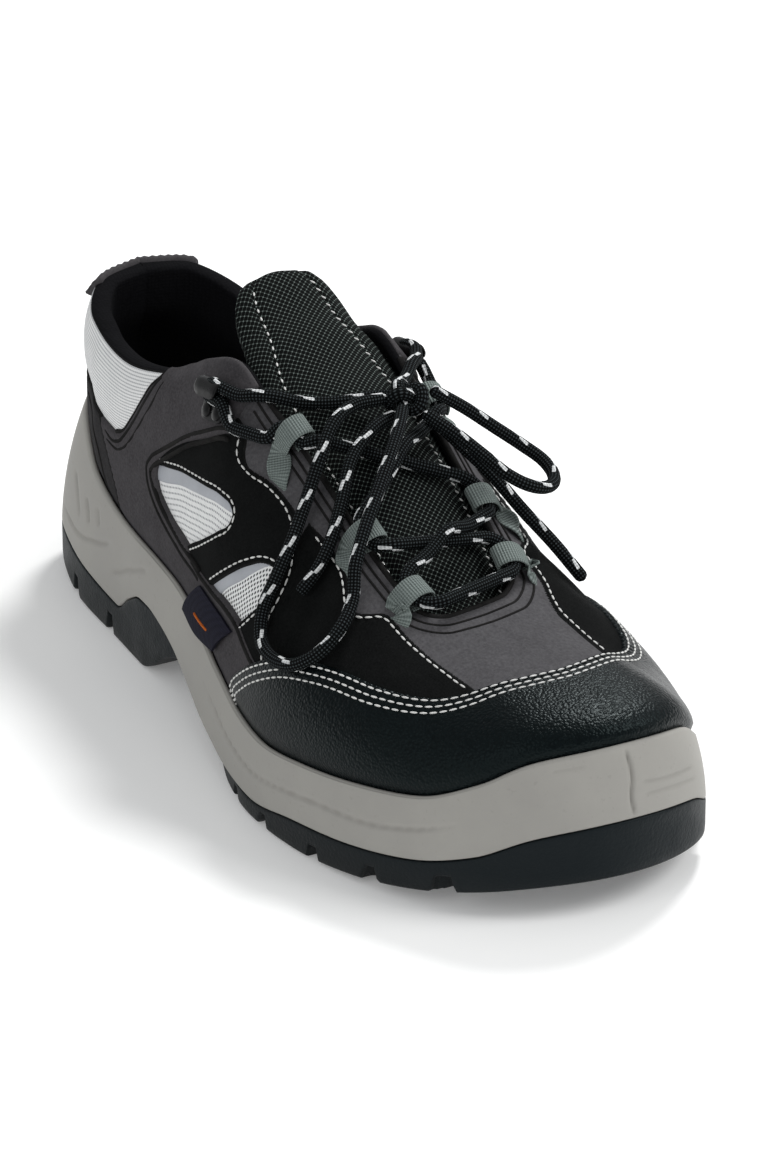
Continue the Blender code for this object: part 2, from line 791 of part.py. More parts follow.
add_outsole()
add_midsole()
UPPER = add_upper()
add_toe_cap()
add_insole()
bpy.context.view_layer.update()
UPPER_TREE = tree_of(UPPER)
TONGUE_PART = add_tongue(UPPER_TREE)
bpy.context.view_layer.update()
UNDER_LACE = (UPPER_TREE, tree_of(TONGUE_PART))

WEBBING = plain_material("grey_webbing", (0.28, 0.3, 0.3), 0.8)
HOOK_STEEL = plain_material("black_lacquered_steel", (0.015, 0.015, 0.016), 0.4, 0.9)
LACE_CORD = plain_material("black_flecked_lace", (0.02, 0.02, 0.022), 0.75)
SIDES = (("lateral", -1), ("medial", 1))
for side_name, side_sign in SIDES:
    for order, station in enumerate(LOOP_STATIONS, start=1):
        add_lace_loop(f"lace_loop_{side_name}_{order}", station, side_sign, WEBBING)
    add_lace_hook(f"lace_hook_{side_name}", side_sign, HOOK_STEEL)

FRONT_MOUTHS = [[loop_mouth(station, sign, 1) for _, sign in SIDES] for station in LOOP_STATIONS]
BACK_MOUTHS = [[loop_mouth(station, sign, -1) for _, sign in SIDES] for station in LOOP_STATIONS]
add_cord("lace_bar_front", over_tongue(*FRONT_MOUTHS[0], UNDER_LACE, 0.7 * MM, 0.03), LACE_CORD)
for name, starts, ends in zip(("lower", "middle"), BACK_MOUTHS, FRONT_MOUTHS[1:]):
    add_crossing(f"lace_cross_{name}", starts, ends, UNDER_LACE, LACE_CORD)
add_knot(LACE_CORD)
FREE_CORDS = (
    ("lace_run_lateral", RUN_LATERAL),
    ("lace_run_medial", RUN_MEDIAL),
    ("lace_tie_lateral", TIE_LATERAL),
    ("lace_tie_medial", TIE_MEDIAL),
    ("lace_bow_lateral", BOW_LATERAL),
    ("lace_bow_medial", BOW_MEDIAL),
    ("lace_end_lateral", END_LATERAL),
    ("lace_end_medial", END_MEDIAL),
)
for name, route in FREE_CORDS:
    add_cord(name, smooth_route(route, 6 * MM), LACE_CORD)
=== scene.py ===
# Low safety shoe for the right foot, standing empty on its sole: the finished look.
# Metres; +X towards the toe, -Y to the outer side of the foot, +Z up, floor at z = 0.

import math

import bpy
import numpy as np
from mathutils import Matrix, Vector
from mathutils.bvhtree import BVHTree
from mathutils.geometry import delaunay_2d_cdt


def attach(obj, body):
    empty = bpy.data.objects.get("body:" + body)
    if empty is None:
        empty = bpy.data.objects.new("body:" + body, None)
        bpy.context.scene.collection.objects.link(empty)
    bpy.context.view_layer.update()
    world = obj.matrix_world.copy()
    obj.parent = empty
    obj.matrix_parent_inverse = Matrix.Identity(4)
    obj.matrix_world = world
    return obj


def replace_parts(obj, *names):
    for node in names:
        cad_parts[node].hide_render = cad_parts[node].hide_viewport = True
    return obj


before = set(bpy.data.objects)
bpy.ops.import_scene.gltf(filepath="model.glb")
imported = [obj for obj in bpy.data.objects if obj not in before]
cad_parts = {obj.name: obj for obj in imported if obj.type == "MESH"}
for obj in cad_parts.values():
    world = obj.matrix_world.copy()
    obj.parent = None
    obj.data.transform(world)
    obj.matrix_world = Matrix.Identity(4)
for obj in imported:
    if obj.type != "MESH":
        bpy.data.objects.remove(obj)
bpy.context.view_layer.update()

# Camera
# It looks at the toe and the outer side from a little above, at the photograph's angle,
# and frames the one shoe.

AIM = Vector((0.0028, 0.0122, 0.0429))
DISTANCE = 1.897
AZIMUTH = math.radians(60.71)
ELEVATION = math.radians(24.83)

camera_data = bpy.data.cameras.new("camera")
camera_data.sensor_width = 36
camera_data.lens = 200
camera = bpy.data.objects.new("camera", camera_data)
bpy.context.scene.collection.objects.link(camera)
bpy.context.scene.camera = camera
to_camera = Vector((
    math.sin(AZIMUTH) * math.cos(ELEVATION),
    -math.cos(AZIMUTH) * math.cos(ELEVATION),
    math.sin(ELEVATION),
))
camera.location = AIM + to_camera * DISTANCE
camera.rotation_mode = "QUATERNION"
camera.rotation_quaternion = (-to_camera).to_track_quat("-Z", "Y")

# Lace ends and bow
# Round braided polyester cord with a fleck yarn. Two bow loops and two short ends leave the
# knot and lie on the lacing and the sides of the shoe.

MM = 0.001
LENGTH = 302 * MM
CENTRE_SIDE = -2.5 * MM
LACE_DIAMETER = 3.9 * MM
LACE_RADIUS = LACE_DIAMETER / 2
LACE_SPACING = 2 * MM
FLECK_PITCH = 14.7 * MM
BRAID_PITCH = 1.9 * MM

# Routes from the back of the heel: along, side, height (mm)
BOW_LATERAL = (
    (166.9, 1.6, 106.6), (167.1, -8.0, 106.7), (170.8, -16.5, 104.3), (175.1, -22.7, 98.2),
    (177.9, -27.7, 90.4), (181.3, -33.0, 83.0), (184.9, -38.7, 76.1), (186.9, -44.2, 68.4),
    (188.4, -49.3, 60.3), (193.5, -53.1, 53.4), (202.8, -54.0, 51.0), (212.0, -52.2, 52.6),
    (217.6, -47.1, 57.6), (217.7, -40.3, 63.7), (213.2, -33.9, 69.2), (208.8, -30.6, 77.1),
    (204.5, -25.6, 84.2), (199.8, -19.7, 90.3), (194.5, -13.6, 95.5), (188.7, -7.4, 100.3),
    (182.1, -1.3, 103.8), (174.3, 4.3, 105.3),
)
BOW_MEDIAL = (
    (172.6, 16.2, 108.0), (174.8, 24.2, 102.4), (178.7, 32.3, 95.9), (182.9, 40.3, 89.4),
    (187.0, 43.7, 86.4), (192.7, 44.1, 84.3), (198.1, 41.3, 83.5), (201.3, 36.2, 84.3),
    (201.3, 30.5, 86.5), (198.2, 26.1, 89.2), (191.1, 22.5, 93.0), (184.0, 18.0, 97.6),
    (176.6, 11.5, 103.0),
)
END_LATERAL = (
    (170.5, 3.0, 102.2), (174.0, -5.0, 101.6), (179.0, -15.0, 96.0), (187.0, -23.0, 86.5),
    (193.8, -31.0, 77.5), (196.0, -36.1, 72.0), (196.2, -41.0, 67.2),
)
END_MEDIAL = (
    (172.3, 15.2, 99.7), (177.5, 20.5, 93.5), (186.0, 27.5, 84.5), (196.0, 32.2, 76.0),
    (206.2, 36.9, 68.2), (215.3, 40.6, 60.8),
)


def to_frame(points):
    """Moves points from the heel's back to the frame's origin."""
    return np.asarray(points) - np.array([LENGTH / 2, CENTRE_SIDE, 0.0])


def smooth_slopes(knots, values):
    """Slopes at the rows of a table, by central differences."""
    return np.gradient(values, knots, axis=0)


def along_table(knots, values, slopes, at):
    """Cubic curve through a table's rows, one column for each value."""
    at = np.asarray(at, float)
    row = np.clip(np.searchsorted(knots, at, side="right") - 1, 0, len(knots) - 2)
    step = knots[row + 1] - knots[row]
    t = ((at - knots[row]) / step)[:, None]
    step = step[:, None]
    return (
        (2 * t**3 - 3 * t**2 + 1) * values[row]
        + (t**3 - 2 * t**2 + t) * step * slopes[row]
        + (3 * t**2 - 2 * t**3) * values[row + 1]
        + (t**3 - t**2) * step * slopes[row + 1]
    )


def route_lengths(points):
    steps = np.linalg.norm(np.diff(points, axis=0), axis=1)
    return np.concatenate([[0], np.cumsum(steps)])


def smooth_route(points, spacing):
    """Points at an even spacing on a smooth curve through a route's points, in metres."""
    points = np.array(points, float)
    lengths = route_lengths(points)
    count = max(4, int(round(lengths[-1] / spacing)) + 1)
    at = np.linspace(0, lengths[-1], count)
    return along_table(lengths, points, smooth_slopes(lengths, points), at)


def linear_colour(code):
    """Linear colour of an sRGB hex value."""
    shares = [int(code[i:i + 2], 16) / 255 for i in (1, 3, 5)]
    return (*[c / 12.92 if c <= 0.04045 else ((c + 0.055) / 1.055) ** 2.4 for c in shares], 1.0)


def add_node(tree, kind, settings=None, inputs=None):
    """A node with its settings; each input is a constant or another node's output."""
    node = tree.nodes.new(kind)
    for name, value in (settings or {}).items():
        setattr(node, name, value)
    for name, value in (inputs or {}).items():
        if isinstance(value, bpy.types.NodeSocket):
            tree.links.new(value, node.inputs[name])
        else:
            node.inputs[name].default_value = value
    return node


# The output that a link takes, where it isn't the node's first
MAIN_OUTPUT = {"Mix": 2, "TexCoord": "Object", "Attribute": "Fac"}

# Settings and rows of nodes that many materials share
BLEND = {"data_type": "RGBA"}
SMOOTH = {"interpolation_type": "SMOOTHSTEP"}
SPOT = ("spot", "TexCoord", {}, {})
UV_NODES = (("uv", "UVMap", {"uv_map": "UVMap"}, {}), ("split", "SeparateXYZ", {}, {0: "uv"}))


def add_material(name, surface, nodes=()):
    """A material from the values of its surface shader and rows of nodes.

    A row is a node's label, kind, settings and inputs. An input is a constant, a colour's hex
    value, or the label of an earlier node, alone or with the number of the output that is meant.
    A node labelled like a socket of the shader feeds that socket.
    """
    material = bpy.data.materials.new(name)
    material.use_nodes = True
    tree = material.node_tree
    shader = tree.nodes["Principled BSDF"]
    for socket, value in surface.items():
        shader.inputs[socket].default_value = value
    made = {}
    for label, kind, settings, inputs in nodes:
        sources = {}
        for socket, value in inputs.items():
            if isinstance(value, tuple):
                value = made[value[0]].node.outputs[value[1]]
            elif isinstance(value, str):
                value = linear_colour(value) if value[0] == "#" else made[value]
            sources[socket] = value
        node = add_node(tree, "ShaderNode" + kind, settings, sources)
        made[label] = node.outputs[MAIN_OUTPUT.get(kind, 0)]
        if label in shader.inputs:
            tree.links.new(made[label], shader.inputs[label])
    return material


def add_piece(name, points, faces, materials, uv=None, face_material=None, edge=None):
    """A smooth mesh piece in the frame, from points measured from the heel's back."""
    mesh = bpy.data.meshes.new(name)
    mesh.from_pydata(to_frame(points).tolist(), [], [list(face) for face in faces])
    for material in materials:
        mesh.materials.append(material)
    if uv is not None:
        layer = mesh.uv_layers.new(name="UVMap")
        corners = np.empty(len(mesh.loops), int)
        mesh.loops.foreach_get("vertex_index", corners)
        uv = np.asarray(uv)
        layer.data.foreach_set("uv", (uv[corners] if len(uv) == len(points) else uv).ravel())
    if face_material is not None:
        mesh.polygons.foreach_set("material_index", np.asarray(face_material, int))
    if edge is not None:
        attribute = mesh.attributes.new("edge", "FLOAT", "POINT")
        attribute.data.foreach_set("value", np.asarray(edge, float))
    mesh.shade_smooth()
    mesh.update()
    piece = bpy.data.objects.new(name, mesh)
    bpy.context.scene.collection.objects.link(piece)
    return piece


def tube(path, radius, segments=14):
    """Points, faces and UV of a round tube with domed ends; V is the length in metres."""
    path = np.asarray(path, float)
    lengths = route_lengths(path)
    run = np.gradient(path, axis=0)
    run /= np.linalg.norm(run, axis=1)[:, None]
    side = np.cross(run[0], (0.3, 0.2, 1.0))
    side /= np.linalg.norm(side)
    rings = []
    shrink = [(-0.85, 0.35), (-0.55, 0.8)]
    for i in range(len(path)):
        side = side - run[i] * (side @ run[i])
        side /= np.linalg.norm(side)
        other = np.cross(run[i], side)
        spots = [(0.0, 1.0)]
        if i == 0:
            spots = shrink + spots
        if i == len(path) - 1:
            spots = spots + [(-a, b) for a, b in shrink[::-1]]
        for forward, size in spots:
            rings.append((path[i] + run[i] * forward * radius * 0.9, side, other, radius * size,
                          lengths[i] + forward * radius * 0.9))
    turn = np.linspace(0, 2 * math.pi, segments, endpoint=False)
    points = [rings[0][0] - run[0] * radius * 0.12]
    for middle, across, up, size, _ in rings:
        points.extend(middle + size * (np.cos(a) * across + np.sin(a) * up) for a in turn)
    points.append(rings[-1][0] + run[-1] * radius * 0.12)
    last = len(points) - 1
    faces = []
    uv = []
    for j in range(segments):
        k = (j + 1) % segments
        faces.append((0, 1 + k, 1 + j))
        uv += [((j + 0.5) / segments, rings[0][4]), ((j + 1) / segments, rings[0][4]),
               (j / segments, rings[0][4])]
    for i in range(len(rings) - 1):
        low, high = rings[i][4], rings[i + 1][4]
        for j in range(segments):
            k = (j + 1) % segments
            a, b = 1 + i * segments, 1 + (i + 1) * segments
            faces.append((a + j, a + k, b + k, b + j))
            uv += [(j / segments, low), ((j + 1) / segments, low),
                   ((j + 1) / segments, high), (j / segments, high)]
    start = 1 + (len(rings) - 1) * segments
    for j in range(segments):
        k = (j + 1) % segments
        faces.append((start + j, start + k, last))
        uv += [(j / segments, rings[-1][4]), ((j + 1) / segments, rings[-1][4]),
               ((j + 0.5) / segments, rings[-1][4])]
    return np.array(points), faces, uv


def braided_lace():
    """Braided polyester: fine crossing strands with pairs of slanted white flecks; the strands' crowns carry
    a painted highlight and their hollows painted shade.
    """
    around, along = ("split", 0), ("split", 1)
    sums = (
        ("column", "MULTIPLY", around, 2.0),
        ("across", "FRACT", "column"),
        ("across", "SUBTRACT", "across", 0.5),
        ("across", "MULTIPLY", "across", math.pi * LACE_DIAMETER / 2 / MM),
        ("stagger", "FLOOR", "column"),
        ("stagger", "MULTIPLY", "stagger", 0.5),
        ("place", "MULTIPLY_ADD", along, 1 / FLECK_PITCH, "stagger"),
        ("place", "FRACT", "place"),
        ("place", "SUBTRACT", "place", 0.5),
        ("place", "MULTIPLY", "place", FLECK_PITCH / MM),
        ("which", "SIGN", "place"),
        ("place", "ABSOLUTE", "place"),
        ("place", "SUBTRACT", "place", 1.5),
        ("across", "MULTIPLY", "across", "which"),
        ("across", "SUBTRACT", "across", 0.72),
        ("across", "MULTIPLY_ADD", "place", -0.2, "across"),
        ("long", "DIVIDE", "place", 1.9),
        ("long", "ABSOLUTE", "long"),
        ("long", "POWER", "long", 6.0),
        ("wide", "DIVIDE", "across", 0.56),
        ("wide", "ABSOLUTE", "wide"),
        ("wide", "POWER", "wide", 6.0),
        ("fleck", "ADD", "long", "wide"),
        ("fleck", "LESS_THAN", "fleck", 1.0),
        ("turns", "MULTIPLY", around, 6.0 * math.pi * 2),
        ("climb", "MULTIPLY", along, 2 * math.pi / BRAID_PITCH),
        ("left", "ADD", "turns", "climb"),
        ("left", "SINE", "left"),
        ("right", "SUBTRACT", "turns", "climb"),
        ("right", "SINE", "right"),
        ("braid", "MULTIPLY", "left", "right"),
    )
    return add_material("braided_polyester_lace", {"Roughness": 0.9, "Specular IOR Level": 0.08}, (
        *UV_NODES,
        *[(label, "Math", {"operation": operation}, dict(enumerate(terms)))
          for label, operation, *terms in sums],
        # Painted highlight and shade: the yarn is lighter on the braid's crowns, and the white flecks are
        # darker in its hollows.
        ("shade", "MapRange", {}, {"Value": "braid", "From Min": -1.0}),
        ("crowns", "MapRange", SMOOTH, {"Value": "braid", "From Max": 0.95}),
        ("yarn", "Mix", BLEND, {0: "crowns", 6: "#040505", 7: "#3a4042"}),
        ("white", "Mix", BLEND, {0: "shade", 6: "#a9abac", 7: "#e9ebeb"}),
        ("Base Color", "Mix", BLEND, {0: "fleck", 6: "yarn", 7: "white"}),
        ("Normal", "Bump", {}, {"Strength": 0.7, "Distance": 0.28 * MM, "Height": "braid"}),
    ))


LACE = braided_lace()


def add_lace(name, path):
    points, faces, uv = tube(path, LACE_RADIUS)
    piece = add_piece(name, points, faces, [LACE], uv)
    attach(piece, "root")
    return piece


FREE_CORDS = (
    ("bow_loop_lateral", "lace_bow_lateral", BOW_LATERAL, "object"),
    ("bow_loop_medial", "lace_bow_medial", BOW_MEDIAL, "object"),
    ("free_end_lateral", "lace_end_lateral", END_LATERAL, "bare"),
    ("free_end_medial", "lace_end_medial", END_MEDIAL, "bare"),
)
for cord_name, cord_node, cord_route, cord_end in FREE_CORDS:
    cord_path = smooth_route(np.array(cord_route) * MM, LACE_SPACING)
    cord_piece = add_lace(cord_name, cord_path)
    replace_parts(cord_piece, cord_node)

# Outsole
# Black tread PU, moulded in one piece with the heel, the breast, the forefoot and the bumper
# that climbs the toe. Cross grooves open at its sides and leave lugs.

GAP = 0.3 * MM
TOE_TIP_SIDE = 6 * MM
EDGE_BEVEL = 1.8 * MM
SOLE_STATIONS = 720
TREAD_COLUMNS = 60

# Sole outline: distance from the back of the heel, reach to the outer side, to the inner side
OUTLINE = (
    (8, 22.5, 18.5),
    (40, 35.5, 34.0),
    (78, 39.5, 34.5),
    (120, 44.5, 35.5),
    (160, 53.5, 43.0),
    (200, 60.0, 52.5),
    (235, 57.0, 55.0),
    (265, 47.0, 50.5),
    (287, 31.0, 39.0),
    (298, 12.5, 24.0),
)

# Sole heights: distance from the back of the heel, top of the sidewall, split between sidewall
# and tread, underside, foot bed, tuck of the tread, lean of the sidewall
SOLE = (
    (0, 58.0, 16.5, 6.5, 27.0, 0.0, 8.4),
    (22, 51.8, 15.7, 2.6, 27.0, 0.0, 7.4),
    (42, 43.6, 13.9, 0.0, 27.0, 0.0, 5.6),
    (74, 37.4, 12.0, 0.0, 26.5, 0.0, 4.0),
    (84, 37.1, 18.4, 0.0, 26.2, 0.0, 3.8),
    (93, 37.0, 22.4, 0.0, 26.0, 0.0, 3.6),
    (100, 36.8, 22.6, 2.6, 26.0, 0.3, 3.5),
    (110, 36.5, 21.2, 9.5, 25.8, 1.0, 3.4),
    (122, 35.4, 18.6, 13.4, 24.6, 2.6, 3.4),
    (140, 32.3, 13.8, 9.6, 22.0, 3.4, 3.4),
    (158, 28.2, 9.4, 4.6, 19.0, 3.2, 3.4),
    (178, 24.2, 6.4, 0.0, 16.8, 1.2, 3.4),
    (198, 23.4, 6.0, 0.0, 15.6, 0.0, 3.4),
    (222, 25.8, 9.4, 0.0, 15.4, 0.0, 3.4),
    (248, 29.0, 11.4, 1.5, 16.6, 0.0, 3.4),
    (268, 32.0, 13.8, 4.0, 19.0, 0.0, 3.4),
    (284, 39.5, 18.8, 7.2, 22.0, 0.0, 3.5),
    (294, 47.0, 25.4, 9.6, 24.5, 0.0, 3.7),
    (302, 50.5, 29.0, 11.4, 26.5, 0.0, 3.8),
)
RIM, SPLIT, UNDERSIDE, BED, TUCK, LEAN = range(6)

# Cross grooves: place, breadth, depth (mm), turn (degrees)
GROOVE_LENGTH = 60 * MM
GROOVE_OUTSIDE = 4 * MM
GROOVE_SOFT = 1.0 * MM
GROOVES = (
    (40, 4.5, 6.0, 8.0),
    (69, 4.5, 6.0, 8.0),
    (186, 4.0, 3.6, -8.0),
    (205, 4.0, 4.0, -10.0),
    (230, 4.0, 4.0, -12.0),
    (252, 4.0, 4.5, -14.0),
    (273, 4.0, 5.0, -16.0),
)
CHANNEL_INSET = 13 * MM
CHANNEL_DEPTH = 2.2 * MM
CHANNEL_HALF = 1.6 * MM
CHANNEL_SOFT = 0.8 * MM
SIPE_PITCH = 9.5 * MM
SIPE_BREADTH = 1.6 * MM
SIPE_DEPTH = 1.6 * MM
SIPE_SLANT = 0.45
TREAD_LEAST = 3 * MM
SHARP_ANGLE = math.radians(50)


def level_slopes(knots, values):
    """Slopes that keep a table's curve between its neighbouring rows."""
    secant = np.diff(values, axis=0) / np.diff(knots)[:, None]
    before, after = secant[:-1], secant[1:]
    same_way = before * after > 0
    total = np.where(same_way, before + after, 1.0)
    middle = np.where(same_way, 2 * before * after / total, 0.0)
    return np.vstack([secant[:1], middle, secant[-1:]])


def station_angle(distance):
    """Angle around the last, from 0 at the heel to pi at the toe, of a distance in metres."""
    return np.arccos(np.clip(1 - 2 * np.asarray(distance, float) / LENGTH, -1, 1))


def station_distance(angle):
    return LENGTH / 2 * (1 - np.cos(angle))


def closed_outline():
    """Angles and side reaches of the sole's outline, once around and wrapped at both ends."""
    rows = np.array(OUTLINE) * MM
    angles = station_angle(rows[:, 0])
    knots = np.concatenate([[0], angles, [math.pi], 2 * math.pi - angles[::-1]])
    sides = np.concatenate([[0], -rows[:, 1], [TOE_TIP_SIDE], rows[::-1, 2]])
    knots = np.concatenate([knots - 2 * math.pi, knots, knots + 2 * math.pi])
    sides = np.tile(sides, 3)[:, None]
    return knots, sides, smooth_slopes(knots, sides)


OUTWAVE_LINEURVE = closed_outline()


def outline_side(angle):
    return along_table(*OUTWAVE_LINEURVE, angle)[:, 0]


def outline_loop(angle, inset):
    """Plan points of the outline moved inwards by inset, one for each angle."""
    small = 1e-4
    run = (station_distance(angle + small) - station_distance(angle - small)) / (2 * small)
    rise = (outline_side(angle + small) - outline_side(angle - small)) / (2 * small)
    size = np.hypot(run, rise)
    inward = np.stack([-rise / size, run / size], axis=1)
    plan = np.stack([station_distance(angle), outline_side(angle)], axis=1)
    return plan + inward * np.broadcast_to(inset, angle.shape)[:, None]


SOLE_ROWS = np.array(SOLE) * MM
SOLE_SLOPES = level_slopes(SOLE_ROWS[:, 0], SOLE_ROWS[:, 1:])


def sole_heights(distance):
    """Rim, split, underside, foot bed, tuck and lean at distances from the heel."""
    distance = np.clip(distance, 0, LENGTH)
    return along_table(SOLE_ROWS[:, 0], SOLE_ROWS[:, 1:], SOLE_SLOPES, distance).T


def ring_faces(first, second, count):
    """Quads between two rings, given by the numbers of their first points."""
    here = np.arange(count)
    there = (here + 1) % count
    return np.column_stack([first + here, first + there, second + there, second + here])


def rungs(ring, columns):
    """Plan points on rungs across a ring, and how far each is from the rung's nearer end."""
    half = len(ring) // 2
    outer, inner = ring[:half + 1, :2], ring[(-np.arange(half + 1)) % len(ring), :2]
    share = np.linspace(0, 1, columns + 2)[1:-1]
    plan = outer[:, None] * (1 - share)[None, :, None] + inner[:, None] * share[None, :, None]
    breadth = np.linalg.norm(outer - inner, axis=1)
    return plan, np.minimum(share, 1 - share)[None, :] * breadth[:, None]


def rung_faces(base, start, count, columns):
    """Faces that close a ring with its rungs, seen from below."""
    half = count // 2

    def corner(i, j):
        if j < 0:
            return base + i
        if j >= columns:
            return base + (-i) % count
        return start + (i - 1) * columns + j

    faces = []
    for i in range(half):
        for j in range(-1, columns):
            if i == 0:
                faces.append((base, corner(1, j + 1), corner(1, j)))
            elif i == half - 1:
                faces.append((corner(i, j + 1), base + half, corner(i, j)))
            else:
                faces.append((corner(i, j + 1), corner(i + 1, j + 1), corner(i + 1, j), corner(i, j)))
    return faces


def ring_lid(count):
    """Faces that close the first ring with plain rungs, seen from below."""
    faces = []
    for i in range(count // 2):
        corners = ((-i) % count, (-i - 1) % count, i + 1, i)
        faces.append(tuple(dict.fromkeys(corners)))
    return faces


def soft_step(value):
    value = np.clip(value, 0, 1)
    return value * value * (3 - 2 * value)


def on_side(angle, side):
    """Angle around the last on the outer side (-1) or the inner side (1)."""
    return angle if side < 0 else 2 * math.pi - angle


def groove_depth(plan):
    """Depth of the cross grooves at plan points."""
    depth = np.zeros(len(plan))
    for place, breadth, deep, turn in GROOVES:
        for side in (-1, 1):
            reach = outline_side(np.array([on_side(station_angle(place * MM), side)]))[0]
            angle = -side * math.radians(turn)
            away = plan - np.array([place * MM, reach + side * GROOVE_OUTSIDE])
            across = away @ np.array([math.cos(angle), math.sin(angle)])
            lengthwise = away @ np.array([-math.sin(angle), math.cos(angle)])
            edge = GROOVE_SOFT / 2
            share = soft_step((breadth * MM / 2 + edge - np.abs(across)) / GROOVE_SOFT)
            share *= soft_step((GROOVE_LENGTH / 2 + edge - np.abs(lengthwise)) / GROOVE_SOFT)
            depth = np.maximum(depth, share * deep * MM)
    return depth


def tread_material():
    """Tread PU has a satin black skin from the mould, rubbed dull and dusty on the wearing edge."""
    surface = {"Specular IOR Level": 0.2, "Specular Tint": linear_colour("#dcecf2")}
    return add_material("black_tread_pu", surface, (
        SPOT,
        ("mottle", "TexNoise", {}, {"Vector": "spot", "Scale": 55.0, "Detail": 5.0, "Roughness": 0.62}),
        ("grit", "TexNoise", {}, {"Vector": "spot", "Scale": 900.0, "Detail": 3.0, "Roughness": 0.6}),
        ("height", "SeparateXYZ", {}, {0: "spot"}),
        ("low", "MapRange", {}, {
            "Value": ("height", 2), "From Max": 14 * MM, "To Min": 0.3, "To Max": 0.0}),
        ("dust", "Math", {"operation": "MULTIPLY"}, {0: "low", 1: "mottle"}),
        ("clean", "Mix", BLEND, {0: "mottle", 6: "#05080a", 7: "#0d1215"}),
        ("Base Color", "Mix", BLEND, {0: "dust", 6: "clean", 7: "#4a4845"}),
        ("Roughness", "MapRange", {}, {
            "Value": "mottle", "From Min": 0.3, "From Max": 0.7, "To Min": 0.42, "To Max": 0.62}),
        ("Normal", "Bump", {}, {"Strength": 0.8, "Distance": 0.3 * MM, "Height": "grit"}),
    ))


def add_outsole():
    angle = np.arange(SOLE_STATIONS) * 2 * math.pi / SOLE_STATIONS
    heights = sole_heights(station_distance(angle))
    tuck = heights[TUCK]
    top = heights[SPLIT] - 1.5 * GAP
    foot = heights[UNDERSIDE] + groove_depth(outline_loop(angle, tuck + EDGE_BEVEL))
    foot = np.minimum(foot, top - 2.2 * MM)
    wall = np.linspace(0, 1, 9)[1:-1]
    rings = [(tuck + 2.5 * MM, top), (tuck + 0.35 * MM, top), (tuck + 0.08 * MM, top - 0.25 * MM)]
    rings += [(tuck, top - 0.7 * MM)]
    rings += [(tuck, (top - 0.7 * MM) * (1 - t) + (foot + 1.5 * MM) * t) for t in wall]
    rings += [(tuck + 0.12 * MM, foot + 0.9 * MM), (tuck + 0.5 * MM, foot + 0.35 * MM)]
    rings += [(tuck + 1.1 * MM, foot + 0.08 * MM), (tuck + EDGE_BEVEL, foot)]
    points = [np.column_stack([outline_loop(angle, inset), z]) for inset, z in rings]
    faces = []
    for i in range(len(rings) - 1):
        faces.append(ring_faces(i * SOLE_STATIONS, (i + 1) * SOLE_STATIONS, SOLE_STATIONS)[:, ::-1])
    half = SOLE_STATIONS // 2
    plan, from_edge = rungs(points[-1], TREAD_COLUMNS)
    under = np.broadcast_to(heights[UNDERSIDE][:half + 1, None], from_edge.shape)
    depth = groove_depth(plan.reshape(-1, 2)).reshape(from_edge.shape)
    channel = soft_step((CHANNEL_HALF - np.abs(from_edge - CHANNEL_INSET)) / CHANNEL_SOFT) * CHANNEL_DEPTH
    middle = (plan[:, 0, 1] + plan[:, -1, 1]) / 2
    chevron = plan[:, :, 0] + SIPE_SLANT * np.abs(plan[:, :, 1] - middle[:, None])
    place = np.abs(np.mod(chevron, SIPE_PITCH) - SIPE_PITCH / 2)
    sipe = soft_step((SIPE_BREADTH / 2 - place) / (0.5 * MM) + 0.5) * SIPE_DEPTH
    sipe *= soft_step((from_edge - CHANNEL_INSET - 1 * MM) / (1.5 * MM))
    depth = np.maximum(np.maximum(depth, channel), sipe)
    depth = np.minimum(depth, heights[SPLIT][:half + 1, None] - under - TREAD_LEAST)
    grid = np.dstack([plan, under + np.maximum(depth, 0)])
    all_points = np.vstack(points + [grid[1:-1].reshape(-1, 3)])
    faces = [tuple(face) for face in np.vstack(faces)]
    base = (len(rings) - 1) * SOLE_STATIONS
    faces += rung_faces(base, len(rings) * SOLE_STATIONS, SOLE_STATIONS, TREAD_COLUMNS)
    faces += [face[::-1] for face in ring_lid(SOLE_STATIONS)]
    piece = add_piece("outsole_tread", all_points, faces, [tread_material()])
    piece.data.set_sharp_from_angle(angle=SHARP_ANGLE)
    return piece


outsole = add_outsole()
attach(outsole, "root")
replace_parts(outsole, "outsole")

# Midsole
# Grey foamed PU, injected between the tread and the upper. Its sidewall leans in to a thin
# rounded rim, climbs at heel and toe, and carries soft moulded lines.

LIP = 1.5 * MM
RIM_OUTER_ROUND = 0.7 * MM
RIM_INNER_ROUND = 0.6 * MM
MIDSOLE_ROWS = 56
LINE_STEPS = 90
LINE_FADE = 14

# Moulded lines: breadth and depth (mm), then station (mm) and height share of each point.
# Stations below 0 or above 302 are on the inner side.
MIDSOLE_LINES = (
    (0.8, 0.6, ((150, 0.62), (172, 0.52), (195, 0.46), (218, 0.46), (235, 0.48), (252, 0.44), (267, 0.49),
                (280, 0.53))),
    (0.8, 0.6, ((20, 0.20), (34, 0.22), (45, 0.30), (52, 0.40), (59, 0.50), (66, 0.64))),
    (0.8, 0.5, ((68, 0.31), (77, 0.46), (87, 0.51), (96, 0.67))),
    (0.9, 0.5, ((28, 0.66), (32, 0.60), (35, 0.55), (40, 0.42))),
    (0.9, 0.6, ((42, 0.70), (45.6, 0.61), (48, 0.51))),
    (0.9, 0.5, ((52, 0.78), (55.5, 0.64))),
    (0.55, 1.0, ((302.01, 0.02), (302, 0.3), (302.005, 0.6), (301.995, 0.97))),
    (0.6, 0.45, ((302.1, 0.47), (303.2, 0.44), (306.3, 0.44), (311, 0.45))),
    (0.6, 0.4, ((302.1, 0.29), (304, 0.288), (307, 0.285), (312, 0.29))),
    (0.6, 0.3, ((296, 0.85), (298.1, 0.84), (299.8, 0.84))),
)


def inner_rows(rows):
    """Stations and shares of a line, mirrored to the inner side."""
    return tuple((-station, share) for station, share in rows)


def inner_lines(lines):
    return tuple((breadth, depth, inner_rows(rows)) for breadth, depth, rows in lines)


